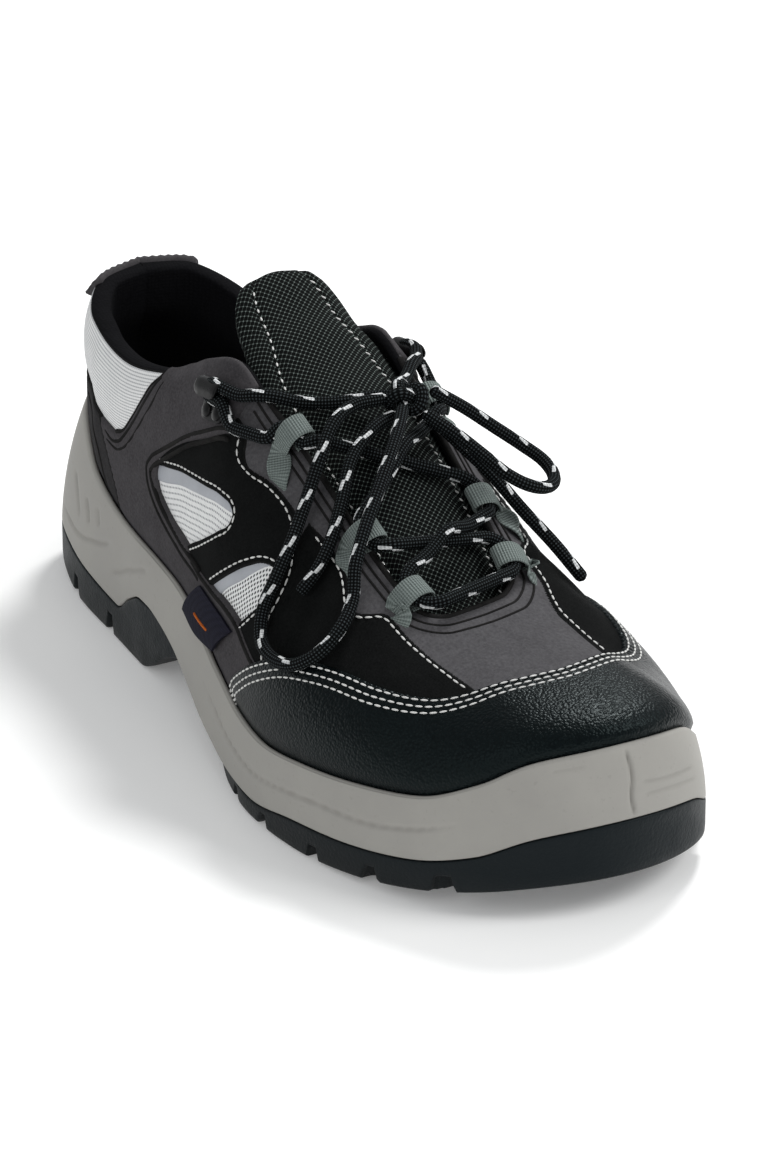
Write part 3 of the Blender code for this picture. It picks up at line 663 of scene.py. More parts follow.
# The first three lines are on both sides
MIDSOLE_LINES += inner_lines(MIDSOLE_LINES[:3])


def turn_of(station):
    """Angle around the last of a station in mm: below 0 and above 302 lie on the inner side."""
    station = np.asarray(station, float)
    inner = 2 * LENGTH / MM - station
    half = station_angle(np.abs(np.where(station > LENGTH / MM, inner, station)) * MM)
    turn = np.where(station > LENGTH / MM, 2 * math.pi - half, half)
    return np.where(station < 0, -half, turn)


def sidewall(angle, share):
    """Face of the sidewall from the split to the rim, one point for each angle and share."""
    heights = sole_heights(station_distance(angle))
    inset = heights[LEAN] * (0.2 * share + 0.8 * share**2)
    z = heights[SPLIT] + (heights[RIM] - heights[SPLIT]) * share
    return np.column_stack([outline_loop(angle, inset), z])


def line_relief(points, lines, surface):
    """How far moulded lines sink a surface at its points."""
    relief = np.zeros(len(points))
    for breadth, depth, rows in lines:
        rows = np.array(rows, float)
        flat = np.column_stack([turn_of(rows[:, 0]), rows[:, 1]])
        knots = np.linspace(0, 1, len(flat))
        fine = along_table(knots, flat, smooth_slopes(knots, flat), np.linspace(0, 1, LINE_STEPS))
        line = surface(fine[:, 0], fine[:, 1])
        margin = max(8, 3 * breadth) * MM
        low, high = line.min(axis=0) - margin, line.max(axis=0) + margin
        near = np.all((points > low) & (points < high), axis=1)
        gap = np.linalg.norm(points[near][:, None] - line[None], axis=2)
        nearest = gap.argmin(axis=1)
        taper = soft_step(np.minimum(nearest, LINE_STEPS - 1 - nearest) / LINE_FADE + 0.15)
        distance = gap.min(axis=1)
        relief[near] += depth * MM * taper * np.exp(-((distance / (breadth * MM)) ** 2))
    return relief


def foamed_material():
    """Foamed PU skins over in the mould: matt warm grey, faintly mottled, with painted shade in its lines."""
    return add_material("grey_foamed_pu", {"Specular IOR Level": 0.2}, (
        SPOT,
        ("mottle", "TexNoise", {}, {"Vector": "spot", "Scale": 38.0, "Detail": 6.0, "Roughness": 0.6}),
        ("specks", "TexNoise", {}, {"Vector": "spot", "Scale": 620.0, "Detail": 2.0, "Roughness": 0.5}),
        ("clean", "Mix", BLEND, {0: "mottle", 6: "#8d8b87", 7: "#a19f99"}),
        ("dots", "MapRange", {}, {"Value": "specks", "From Min": 0.64, "From Max": 0.78, "To Max": 0.12}),
        ("speckled", "Mix", BLEND, {0: "dots", 6: "clean", 7: "#55514a"}),
        # Painted shade: the moulded lines are darkened in step with their depth.
        ("hollow", "Attribute", {"attribute_name": "edge"}, {}),
        ("soiled", "MapRange", {}, {"Value": "hollow", "From Min": 0.1, "From Max": 0.9, "To Max": 0.3}),
        ("Base Color", "Mix", BLEND, {0: "soiled", 6: "speckled", 7: "#4f4b45"}),
        ("Roughness", "MapRange", {}, {
            "Value": "mottle", "From Min": 0.3, "From Max": 0.7, "To Min": 0.5, "To Max": 0.66}),
        ("Normal", "Bump", {}, {"Strength": 0.25, "Distance": 0.1 * MM, "Height": "specks"}),
    ))


def add_midsole():
    angle = np.arange(SOLE_STATIONS) * 2 * math.pi / SOLE_STATIONS
    heights = sole_heights(station_distance(angle))
    lean = heights[LEAN]
    rings = [np.column_stack([outline_loop(angle, 2.5 * MM), heights[SPLIT]])]
    rings.append(np.column_stack([outline_loop(angle, 0.25 * MM), heights[SPLIT] + 0.02 * MM]))
    sunk = [np.zeros(2 * SOLE_STATIONS)]
    for share in np.linspace(0.02, 0.975, MIDSOLE_ROWS):
        face = sidewall(angle, np.full(SOLE_STATIONS, share))
        sink = line_relief(face, MIDSOLE_LINES, sidewall)
        sunk.append(sink / MM)
        inset = lean * (0.2 * share + 0.8 * share**2)
        face[:, :2] = outline_loop(angle, inset + sink)
        rings.append(face)
    for turn in np.linspace(0.25, 1, 4) * math.pi / 2:
        inset = lean + RIM_OUTER_ROUND * (1 - math.cos(turn))
        z = heights[RIM] - RIM_OUTER_ROUND * (1 - math.sin(turn))
        rings.append(np.column_stack([outline_loop(angle, inset), z]))
    for turn in np.linspace(0, 1, 4) * math.pi / 2:
        inset = lean + LIP - RIM_INNER_ROUND * (1 - math.sin(turn))
        z = heights[RIM] - RIM_INNER_ROUND * (1 - math.cos(turn))
        rings.append(np.column_stack([outline_loop(angle, inset), z]))
    rings.append(np.column_stack([outline_loop(angle, lean + LIP), heights[RIM] - 4 * MM]))
    rings.append(np.column_stack([outline_loop(angle, lean + LIP), heights[BED]]))
    count = SOLE_STATIONS
    faces = [ring_faces(i * count, (i + 1) * count, count) for i in range(len(rings) - 1)]
    faces = [tuple(face) for face in np.vstack(faces)]
    last = (len(rings) - 1) * count
    faces += ring_lid(count)
    faces += [tuple(last + i for i in face[::-1]) for face in ring_lid(count)]
    sunk = np.concatenate(sunk)
    sunk = np.concatenate([sunk, np.zeros(len(rings) * count - len(sunk))])
    return add_piece("midsole_sidewall", np.vstack(rings), faces, [foamed_material()], edge=sunk)


midsole = add_midsole()
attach(midsole, "root")
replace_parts(midsole, "midsole")

# Insole
# A foam sheet covered with black knitted fabric, laid loose on the bed inside the upper. Its
# border cups up a little along the wall.

RIM_THICKNESS = 2.6 * MM
WALL = 2.2 * MM
INSOLE_THICKNESS = 4 * MM
INSOLE_STATIONS = 240
INSOLE_COLUMNS = 24
INSOLE_CUP = 1.2 * MM
INSOLE_CUP_REACH = 9 * MM


def upper_inset(angle):
    """Inset of the upper's foot: lean and thickness of the sidewall's rim, and the gap."""
    return sole_heights(station_distance(angle))[LEAN] + RIM_THICKNESS + GAP


def knitted_material(name, deep, raised, loop_mm):
    """Knitted polyester: rows of small loops, dark in the holes between them."""
    return add_material(name, {"Roughness": 0.95, "Specular IOR Level": 0.05}, (
        SPOT,
        ("loops", "TexVoronoi", {"feature": "F1"}, {
            "Vector": "spot", "Scale": 1000 / loop_mm, "Randomness": 0.35}),
        ("cloudy", "TexNoise", {}, {"Vector": "spot", "Scale": 60.0, "Detail": 3.0}),
        ("light", "Math", {"operation": "MULTIPLY"}, {0: "loops", 1: "cloudy"}),
        ("Base Color", "Mix", BLEND, {0: "light", 6: raised, 7: deep}),
        ("Normal", "Bump", {"invert": True}, {"Strength": 0.6, "Distance": 0.3 * MM, "Height": "loops"}),
    ))


def add_insole():
    angle = np.arange(INSOLE_STATIONS) * 2 * math.pi / INSOLE_STATIONS
    inset = upper_inset(angle) + WALL + 2 * GAP
    low = sole_heights(station_distance(angle))[BED] + GAP
    high = low + INSOLE_THICKNESS
    rings = [(inset + 1 * MM, low), (inset + 0.2 * MM, low + 0.3 * MM), (inset, low + 1 * MM)]
    rings += [(inset, high), (inset + 0.2 * MM, high + 0.9 * MM), (inset + 0.8 * MM, high + INSOLE_CUP)]
    points = [np.column_stack([outline_loop(angle, i), z]) for i, z in rings]
    plan, from_edge = rungs(points[-1], INSOLE_COLUMNS)
    bed = high[:INSOLE_STATIONS // 2 + 1, None]
    cup = bed + INSOLE_CUP * np.exp(-((from_edge / INSOLE_CUP_REACH) ** 2))
    grid = np.dstack([plan, cup])[1:-1].reshape(-1, 3)
    faces = [ring_faces(i * INSOLE_STATIONS, (i + 1) * INSOLE_STATIONS, INSOLE_STATIONS)
             for i in range(len(rings) - 1)]
    faces = [tuple(face) for face in np.vstack(faces)]
    base = (len(rings) - 1) * INSOLE_STATIONS
    faces += [face[::-1] for face in
              rung_faces(base, len(rings) * INSOLE_STATIONS, INSOLE_STATIONS, INSOLE_COLUMNS)]
    faces += ring_lid(INSOLE_STATIONS)
    material = knitted_material("insole_knit", "#060607", "#1d1d1f", 0.9)
    return add_piece("insole_sheet", np.vstack(points + [grid]), faces, [material])


insole = add_insole()
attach(insole, "root")
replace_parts(insole, "insole")

# Upper shell and lining
# The stitched wall that every outer panel is sewn to, lasted over the foot's shape, with a
# rolled padded collar. The lining is a black knit glued to its inner face.

UPPER_STATIONS = 480
UPPER_ROWS = 56
ROLL_SHARE = 0.13
ROLL_LIFT = 1.6 * MM
ROLL_STEPS = 11

# Edge of the collar and throat, a row for each station of the outline: station, place along the
# shoe, skew between the sides, half breadth, height, fall of the surface (degrees), reach and
# rise of the rib's two handles, swell, padding
OPENING = (
    (0, 15.0, 0.0, 0.0, 95.5, 84.0, 12.0, 13.0, 0.6, 4.0),
    (8, 19.0, 0.0, 14.5, 94.5, 84.0, 12.0, 13.0, 0.8, 4.0),
    (30, 35.0, 0.0, 25.5, 89.5, 82.0, 13.0, 14.0, 1.4, 4.0),
    (64, 62.0, 0.0, 28.5, 86.0, 80.0, 14.0, 15.0, 2.0, 4.0),
    (95, 91.0, 0.0, 28.0, 92.5, 74.0, 18.0, 19.0, 2.2, 3.4),
    (118, 112.0, 0.0, 26.0, 103.0, 64.0, 23.0, 25.0, 2.2, 1.8),
    (138, 128.0, 0.5, 24.5, 108.0, 58.0, 26.0, 28.0, 2.2, 0.6),
    (160, 147.0, 1.0, 23.5, 100.5, 50.0, 26.0, 29.0, 2.2, 0.0),
    (190, 172.5, 2.0, 22.0, 88.2, 42.0, 26.0, 26.0, 2.8, 0.0),
    (222, 201.0, 3.0, 20.5, 73.4, 31.0, 25.0, 22.0, 2.8, 0.0),
    (250, 219.0, 4.0, 18.2, 65.6, 20.0, 28.0, 17.0, 2.0, 0.0),
    (282, 225.0, 2.0, 9.4, 63.8, 14.0, 35.0, 12.0, 0.8, 0.0),
    (302, 225.5, 0.0, 0.0, 63.8, 12.0, 37.0, 8.5, 0.0, 0.0),
)

# Soft creases from the foot's flexing: breadth and depth (mm), then station and height share
CREASES = (
    (7.0, 1.0, ((202, 0.82), (206, 0.64), (203, 0.46))),
    (5.0, 0.7, ((226, 0.74), (229, 0.62), (231, 0.52))),
    (9.0, 0.7, ((104, 0.96), (113, 0.84), (124, 0.74))),
)
CREASES += inner_lines(CREASES)
CREASES += ((4.5, 0.5, ((262, 0.80), (286, 0.86), (302, 0.87), (318, 0.86), (342, 0.80))),)


def opening_table():
    rows = np.array(OPENING)
    knots = station_angle(rows[:, 0] * MM)
    return knots, rows[:, 1:], level_slopes(knots, rows[:, 1:])


OPENING_CURVE = opening_table()


def ribs(angle):
    """The four handles of each rib above the sidewall, and the padding at its edge."""
    angle = np.mod(angle, 2 * math.pi)
    outer_side = angle <= math.pi
    half = np.where(outer_side, angle, 2 * math.pi - angle)
    side = np.where(outer_side, -1.0, 1.0)
    row = along_table(*OPENING_CURVE, half).T
    place, skew, breadth, height, fall, reach, rise, swell, padding = row
    rim = sole_heights(station_distance(angle))[RIM]
    foot = np.column_stack([outline_loop(angle, upper_inset(angle)), rim])
    edge = np.column_stack([place - side * skew, side * breadth, height]) * MM
    away = foot[:, :2] - edge[:, :2]
    away /= np.linalg.norm(away, axis=1)[:, None]
    fall = np.radians(fall)
    slope = np.column_stack([away * np.cos(fall)[:, None], -np.sin(fall)])
    upright = np.column_stack([away * (swell * MM)[:, None], rise * MM])
    return foot, foot + upright, edge + slope * (reach * MM)[:, None], edge, padding * MM


def rib_face(angle, share):
    """Face of the last up to its edge, one point for each angle and height share."""
    foot, first, second, edge, _ = ribs(angle)
    bed = sole_heights(station_distance(angle))[BED] + GAP
    part = np.maximum(share, 0)[:, None]
    rest = 1 - part
    face = rest**3 * foot + 3 * rest**2 * part * first + 3 * rest * part**2 * second + part**3 * edge
    face[:, 2] += (bed - foot[:, 2]) * np.maximum(-share, 0)
    return face


def skin(angle, share):
    """Face of the last: below share 0 it stands in the tray, above 1 it turns over the roll."""
    face = rib_face(angle, np.minimum(share, 1))
    over = share > 1
    if not over.any():
        return face
    turn = angle[over]
    small = 1e-3
    edge = face[over]
    rise = edge - rib_face(turn, np.full(len(turn), 1 - small))
    around = rib_face(turn + small, np.ones(len(turn))) - rib_face(turn - small, np.ones(len(turn)))
    out = np.cross(around, rise)
    out /= np.linalg.norm(out, axis=1)[:, None]
    rise /= np.linalg.norm(rise, axis=1)[:, None]
    half = ((WALL + ribs(turn)[4]) / 2)[:, None]
    bend = ((share[over] - 1) * math.pi / ROLL_SHARE)[:, None]
    lift = np.minimum(half, ROLL_LIFT) * np.sin(bend)
    face[over] = edge - out * half * (1 - np.cos(bend)) + rise * lift
    return face


def skin_frame(angle, share):
    """Points of the last's face with the steps around and up it and the outward normals."""
    small = 1e-3
    low, high = np.maximum(share - small, -1), np.minimum(share + small, 1 + ROLL_SHARE)
    up = (skin(angle, high) - skin(angle, low)) / (high - low)[:, None]
    around = (skin(angle + small, share) - skin(angle - small, share)) / (2 * small)
    normal = np.cross(around, up)
    normal /= np.linalg.norm(normal, axis=1)[:, None]
    return skin(angle, share), around, up, normal


def crease_depth(points):
    return line_relief(points, CREASES, skin)


def add_shell():
    angle = np.arange(UPPER_STATIONS) * 2 * math.pi / UPPER_STATIONS
    padding = ribs(angle)[4]
    share_rows = np.concatenate([np.linspace(-0.9, 0, 4)[:-1], np.linspace(0, 1, UPPER_ROWS)])
    outer, inner = [], []
    for share in share_rows:
        point, _, up, normal = skin_frame(angle, np.full(UPPER_STATIONS, share))
        point = point - normal * crease_depth(point)[:, None]
        depth = WALL + soft_step((share - 0.25) / 0.45) * padding
        outer.append(point)
        inner.append(point - normal * depth[:, None])
    up = up - normal * np.sum(up * normal, axis=1)[:, None]
    up /= np.linalg.norm(up, axis=1)[:, None]
    roll = []
    for turn in np.linspace(0, math.pi, ROLL_STEPS)[1:-1]:
        lift = np.minimum(depth / 2, ROLL_LIFT) * math.sin(turn)
        middle = (outer[-1] + inner[-1]) / 2
        reach = normal * (depth / 2 * math.cos(turn))[:, None]
        roll.append(middle + reach + up * lift[:, None])
    rings = outer + roll + inner[::-1]
    count = UPPER_STATIONS
    faces = [ring_faces(i * count, (i + 1) % len(rings) * count, count) for i in range(len(rings))]
    fabric = np.repeat([0 if i < len(outer) else 1 for i in range(len(rings))], count)
    outside = napped_leather("black_nubuck_base", "#060707", "#0e0f0f")
    lining = knitted_material("collar_lining_knit", "#030304", "#131315", 1.1)
    return add_piece("upper_shell", np.vstack(rings), np.vstack(faces).tolist(),
                     [outside, lining], face_material=fabric)


def napped_leather(name, deep, raised, nap_mm=0.35):
    """Buffed leather: a short nap that lies light and dark in patches, paler in patches along its edges."""
    return add_material(name, {"Roughness": 0.96, "Specular IOR Level": 0.06}, (
        SPOT,
        # The real nap is finer; it is drawn coarser so that it shows
        ("nap", "TexNoise", {}, {
            "Vector": "spot", "Scale": 1000 / nap_mm / 2, "Detail": 3.0, "Roughness": 0.65}),
        ("patches", "TexNoise", {}, {
            "Vector": "spot", "Scale": 110.0, "Detail": 4.0, "Roughness": 0.6, "Distortion": 0.6}),
        ("blend", "Math", {"operation": "MULTIPLY_ADD"}, {0: "nap", 1: 2.2, 2: "patches"}),
        ("light", "MapRange", {}, {"Value": "blend", "From Min": 1.1, "From Max": 2.1}),
        ("leather", "Mix", BLEND, {0: "light", 6: deep, 7: raised}),
        # Paler towards the panel's edges, in patches.
        ("border", "Attribute", {"attribute_name": "edge"}, {}),
        ("rubbed", "MapRange", {}, {
            "Value": "border", "From Min": 0.15, "From Max": 0.9, "To Min": 0.08, "To Max": 0.0}),
        ("wear", "Math", {"operation": "MULTIPLY"}, {0: "rubbed", 1: "patches"}),
        ("Base Color", "Mix", BLEND, {0: "wear", 6: "leather", 7: "#8a8886"}),
        ("Normal", "Bump", {}, {"Strength": 0.5, "Distance": 0.22 * MM, "Height": "nap"}),
    ))


shell = add_shell()
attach(shell, "root")
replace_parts(shell, "upper")

# Mesh windows
# Pale knitted mesh in two openings of each side panel, with a smooth reflective strip sewn
# across the top of each.

MESH_HEIGHT = 0.35 * MM
BAND_HEIGHT = 0.75 * MM
PANEL_SPACING = 2.4 * MM
EDGE_SINK = 0.25 * MM
EDGE_ROUND = 1.0 * MM
EDGE_RINGS = np.array([0.05, 0.2, 0.5, 1.0, 1.5, 2.0, 2.6]) * MM
UNDER_DEPTH = 0.2 * MM
PUFF_REACH = 6 * MM
FLAT_AROUND = 0.12
FLAT_UP = 0.055

REAR_WINDOW = (
    (98.1, 0.507), (108.1, 0.505), (122.2, 0.505), (135.2, 0.52), (147, 0.555), (153, 0.572),
    (155.6, 0.56), (155, 0.53), (147.7, 0.44), (134.6, 0.32), (126.1, 0.255), (119, 0.20),
    (108, 0.214), (100.5, 0.281), (94.5, 0.361), (92.3, 0.431), (93.6, 0.487), (98.1, 0.507),
)
FRONT_WINDOW = (
    (149, 0.245), (160.2, 0.37), (170.7, 0.49), (178.5, 0.565), (184.3, 0.597), (188.2, 0.595),
    (188.8, 0.565), (186.3, 0.50), (180.5, 0.405), (173.3, 0.305), (170, 0.25), (160, 0.23),
    (150, 0.20), (147, 0.21), (149, 0.245),
)
REAR_MESH = (
    ((90, 0.52), (108, 0.53), (122, 0.53), (140, 0.56), (154, 0.60), (158, 0.57)),
    ((158, 0.57), (150, 0.43), (137, 0.29), (124, 0.18)),
    ((124, 0.18), (106, 0.17), (96, 0.24), (90, 0.34), (88, 0.44), (90, 0.52)),
)
FRONT_MESH = (
    ((145, 0.24), (158, 0.39), (170, 0.525), (180, 0.60), (188, 0.62), (190.6, 0.59)),
    ((190.6, 0.59), (188.3, 0.48), (183, 0.39), (176, 0.28), (171, 0.22)),
    ((171, 0.22), (158, 0.20), (145, 0.18), (145, 0.24)),
)
REAR_BAND = (
    ((90, 0.52), (108, 0.53), (122, 0.53), (140, 0.56), (154, 0.60), (158, 0.57)),
    ((158, 0.57), (148, 0.524), (135, 0.478), (122, 0.45), (110, 0.437), (98, 0.42), (88, 0.41)),
    ((88, 0.41), (88, 0.46), (90, 0.52)),
)
FRONT_BAND = (
    ((145, 0.24), (158, 0.39), (170, 0.525), (180, 0.60), (187, 0.62)),
    ((187, 0.62), (181, 0.575), (175.5, 0.51), (169, 0.425), (158, 0.295), (151, 0.20)),
    ((151, 0.20), (145, 0.18), (145, 0.24)),
)


def seam(rows, spacing=1.2 * MM):
    """Fine line on the last through rows of station and height share, as angle and share."""
    rows = np.array(rows, float)
    flat = np.column_stack([turn_of(rows[:, 0]), rows[:, 1]])
    spots = skin(flat[:, 0], flat[:, 1])
    lengths = route_lengths(spots)
    at = np.linspace(0, lengths[-1], max(3, int(lengths[-1] / spacing) + 1))
    return along_table(lengths, flat, smooth_slopes(lengths, flat), at)


def sided(flat, inner_side):
    """A line on the last, mirrored if it is for the inner side."""
    return flat * np.array([-1.0 if inner_side else 1.0, 1.0])


def moved(flat, distance):
    """A line on the last moved to its left, as seen from outside, by a distance."""
    point, around, up, normal = skin_frame(flat[:, 0], flat[:, 1])
    run = np.gradient(point, axis=0)
    run /= np.linalg.norm(run, axis=1)[:, None] + 1e-12
    away = np.cross(normal, run) * np.asarray(distance)
    aa = np.sum(around * around, axis=1)
    au = np.sum(around * up, axis=1)
    uu = np.sum(up * up, axis=1)
    first = np.sum(around * away, axis=1)
    second = np.sum(up * away, axis=1)
    share = aa * uu - au * au
    step = np.column_stack([(first * uu - second * au) / share, (second * aa - first * au) / share])
    result = flat + step
    result[:, 1] = np.clip(result[:, 1], -0.99, 1.06)
    return result


def nearest_gap(points, line, batch=800):
    """Distance from each point to the nearest point of a line."""
    gaps = [np.sqrt(((points[i:i + batch, None] - line[None]) ** 2).sum(axis=2)).min(axis=1)
            for i in range(0, len(points), batch)]
    return np.concatenate(gaps)


def inside_loop(points, loop):
    x, y = points[:, :1], points[:, 1:]
    x0, y0 = loop[:, 0], loop[:, 1]
    x1, y1 = np.roll(x0, -1), np.roll(y0, -1)
    crosses = (y0 > y) != (y1 > y)
    at = (x1 - x0) * (y - y0) / np.where(y1 == y0, 1e-12, y1 - y0) + x0
    return np.count_nonzero(crosses & (x < at), axis=1) % 2 == 1


def panel_height(share, height):
    """A panel is skived thin where it goes down behind the rim and where it meets the edge."""
    low = 0.5 + 0.5 * soft_step((share + 0.02) / 0.1)
    high = 1 - 0.5 * soft_step((share - 0.9) / 0.1)
    return height * low * high


ARC_ANGLES = np.linspace(0, 2 * math.pi, 900)
ARC_LENGTHS = route_lengths(skin(ARC_ANGLES, np.full(900, 0.5)))


def add_panel(name, runs, height, material, holes=(), mirror=False, puff=0.0, lines=(), weft=((0, 1.0),)):
    """A cut panel on the last: rounded edges, closed underneath, with its UV in metres from its weft."""
    loops = [np.vstack([seam(run)[:-1] for run in runs])]
    loops += [seam(hole)[:-1] for hole in holes]
    loops = [sided(loop, mirror) for loop in loops]
    borders = np.vstack([skin(loop[:, 0], loop[:, 1]) for loop in loops])
    inner, edges, count = [], [], 0
    for number, loop in enumerate(loops):
        here = count + np.arange(len(loop))
        edges += np.column_stack([here, count + (np.arange(len(loop)) + 1) % len(loop)]).tolist()
        count += len(loop)
        x, y = loop[:, 0], loop[:, 1]
        turning = np.sum(x * np.roll(y, -1) - np.roll(x, -1) * y)
        inward = (1 if turning > 0 else -1) * (1 if number == 0 else -1)
        closed = np.vstack([loop[-2:], loop, loop[:2]])
        for distance in EDGE_RINGS:
            ring = moved(closed, inward * distance)[2:-2]
            ring = ring[::1 if distance < 0.9 * MM else 2]
            gap = nearest_gap(skin(ring[:, 0], ring[:, 1]), borders)
            inner.append(ring[gap > 0.93 * distance])
    low, high = loops[0].min(axis=0), loops[0].max(axis=0)
    turns = np.arange(low[0], high[0], PANEL_SPACING / FLAT_AROUND)
    climbs = np.arange(low[1], high[1], PANEL_SPACING / FLAT_UP)
    field = np.array([(turn + (j % 2) * PANEL_SPACING / FLAT_AROUND / 2, climb)
                      for j, climb in enumerate(climbs) for turn in turns])
    field = field[inside_loop(field, loops[0])]
    for hole in loops[1:]:
        field = field[~inside_loop(field, hole)]
    gap = nearest_gap(skin(field[:, 0], field[:, 1]), borders)
    inner.append(field[gap > EDGE_RINGS[-1] + PANEL_SPACING * 0.45])
    flat = np.vstack(loops + inner)
    scale = np.array([FLAT_AROUND, FLAT_UP])
    result = delaunay_2d_cdt([Vector(spot) for spot in flat * scale], edges, [], 0, 1e-8)
    flat = np.array([tuple(spot) for spot in result[0]]) / scale
    faces = np.array(result[2])
    middles = flat[faces].mean(axis=1)
    keep = inside_loop(middles, loops[0])
    for hole in loops[1:]:
        keep &= ~inside_loop(middles, hole)
    faces = faces[keep]
    used, faces = np.unique(faces, return_inverse=True)
    faces = faces.reshape(-1, 3)
    flat = flat[used]
    point, _, up, normal = skin_frame(flat[:, 0], flat[:, 1])
    gap = nearest_gap(point, borders)
    top = panel_height(flat[:, 1], height)
    rounding = min(EDGE_ROUND, height)
    share = np.clip(gap / rounding, 0, 1)
    rise = -EDGE_SINK + (top + EDGE_SINK) * np.sqrt(1 - (1 - share) ** 2)
    rise += puff * (1 - np.exp(-((gap / PUFF_REACH) ** 2)))
    if lines:
        rise -= line_relief(point, lines, skin)
    worn = crease_depth(point)
    outer = point + normal * (rise - worn)[:, None]
    under = point - normal * (worn + EDGE_SINK + UNDER_DEPTH)[:, None]
    a, b, c = outer[faces[:, 0]], outer[faces[:, 1]], outer[faces[:, 2]]
    wrong = np.sum(np.cross(b - a, c - a) * normal[faces[:, 0]], axis=1) < 0
    faces[wrong] = faces[wrong][:, ::-1]
    total = len(flat)
    ends = set()
    for face in faces.tolist():
        for i in range(3):
            side = (face[i], face[(i + 1) % 3])
            if (side[1], side[0]) in ends:
                ends.remove((side[1], side[0]))
            else:
                ends.add(side)
    walls = [(b, a, a + total, b + total) for a, b in sorted(ends)]
    all_faces = faces.tolist() + (faces[:, ::-1] + total).tolist() + walls
    weft = np.array(weft, float)
    turn = np.abs(flat[:, 0])
    level = np.interp(turn, turn_of(weft[:, 0]), weft[:, 1])
    climb = (flat[:, 1] - level) * np.linalg.norm(up, axis=1)
    uv = np.column_stack([np.interp(turn, ARC_ANGLES, ARC_LENGTHS), climb])
    piece = add_piece(name, np.vstack([outer, under]), all_faces, [material], np.vstack([uv, uv]),
                      edge=np.concatenate([gap, gap * 0]) / MM)
    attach(piece, "root")
    return piece


def window_mesh(name, rows_mm, holes_mm, slim, hole):
    """Warp-knitted mesh: pale ribs along the reflective strip, with rows of darker holes between."""
    sums = (
        ("climb", "MULTIPLY", ("split", 1), 1 / (rows_mm * MM)),
        ("stagger", "FLOOR", "climb"),
        ("stagger", "MULTIPLY", "stagger", 0.5),
        ("across", "FRACT", "climb"),
        ("across", "SUBTRACT", "across", 0.5),
        ("across", "MULTIPLY", "across", slim),
        ("across", "ABSOLUTE", "across"),
        ("across", "POWER", "across", 2.0),
        ("along", "MULTIPLY_ADD", ("split", 0), 1 / (holes_mm * MM), "stagger"),
        ("along", "FRACT", "along"),
        ("along", "SUBTRACT", "along", 0.5),
        ("along", "MULTIPLY", "along", 2.7),
        ("along", "ABSOLUTE", "along"),
        ("along", "POWER", "along", 2.0),
        ("far", "ADD", "across", "along"),
    )
    return add_material(name, {"Roughness": 0.9, "Specular IOR Level": 0.15}, (
        *UV_NODES,
        *[(label, "Math", {"operation": operation}, dict(enumerate(terms)))
          for label, operation, *terms in sums],
        ("thread", "MapRange", SMOOTH, {"Value": "far", "From Min": 0.35, "From Max": 1.1}),
        SPOT,
        ("cloudy", "TexNoise", {}, {"Vector": "spot", "Scale": 500.0, "Detail": 3.0, "Roughness": 0.6}),
        ("pale", "Mix", BLEND, {0: "cloudy", 6: "#d2d3d3", 7: "#eeeeed"}),
        ("Base Color", "Mix", BLEND, {0: "thread", 6: hole, 7: "pale"}),
        ("Normal", "Bump", {}, {"Strength": 0.6, "Distance": 0.25 * MM, "Height": "thread"}),
    ))


def reflective_tape():
    """Reflective tape: a smooth silver-grey film with a faint bead grain and a silky gloss."""
    return add_material("reflective_tape", {"Roughness": 0.5, "Specular IOR Level": 0.3}, (
        SPOT,
        ("beads", "TexNoise", {}, {"Vector": "spot", "Scale": 1800.0, "Detail": 2.0}),
        ("folds", "TexNoise", {}, {"Vector": "spot", "Scale": 90.0, "Detail": 3.0}),
        ("mixed", "Math", {"operation": "MULTIPLY_ADD"}, {0: "beads", 1: 0.4, 2: "folds"}),
        ("Base Color", "Mix", BLEND, {0: "mixed", 6: "#898c92", 7: "#a3a6ac"}),
        ("Normal", "Bump", {}, {"Strength": 0.3, "Distance": 0.15 * MM, "Height": "beads"}),
    ))


SIDES = (("lateral", -1), ("medial", 1))
REAR_KNIT = window_mesh("fine_knit_mesh", 1.75, 1.3, 4.5, "#8f9194")
FRONT_KNIT = window_mesh("open_knit_mesh", 1.5, 1.5, 2.9, "#3d3e41")
REFLECTIVE = reflective_tape()
for side_name, side_sign in SIDES:
    inner_side = side_sign > 0
    add_panel(f"rear_mesh_{side_name}", REAR_MESH, MESH_HEIGHT, REAR_KNIT, mirror=inner_side,
              weft=REAR_BAND[1][::-1])
    add_panel(f"front_mesh_{side_name}", FRONT_MESH, MESH_HEIGHT, FRONT_KNIT, mirror=inner_side,
              weft=FRONT_BAND[1][::-1])
    add_panel(f"rear_band_{side_name}", REAR_BAND, BAND_HEIGHT, REFLECTIVE, mirror=inner_side)
    add_panel(f"front_band_{side_name}", FRONT_BAND, BAND_HEIGHT, REFLECTIVE, mirror=inner_side)

# Padded collar
# Pale air mesh over foam, from both sides of the heel tab to the quarters. It swells between
# the seams that hold it down.

COLLAR_HEIGHT = 0.8 * MM
COLLAR_PUFF = 1.7 * MM
COLLAR_MESH = (
    ((0.6, 1.0), (20, 1.0), (50, 1.0), (75, 1.0), (95.5, 1.0)),
    ((95.5, 1.0), (89, 0.92), (84, 0.814), (77, 0.67), (69, 0.534), (63, 0.485)),
    ((63, 0.485), (50, 0.472), (37, 0.45), (20, 0.30), (8, 0.218), (0.6, 0.19)),
    ((0.6, 0.19), (0.6, 0.6), (0.6, 1.0)),
)


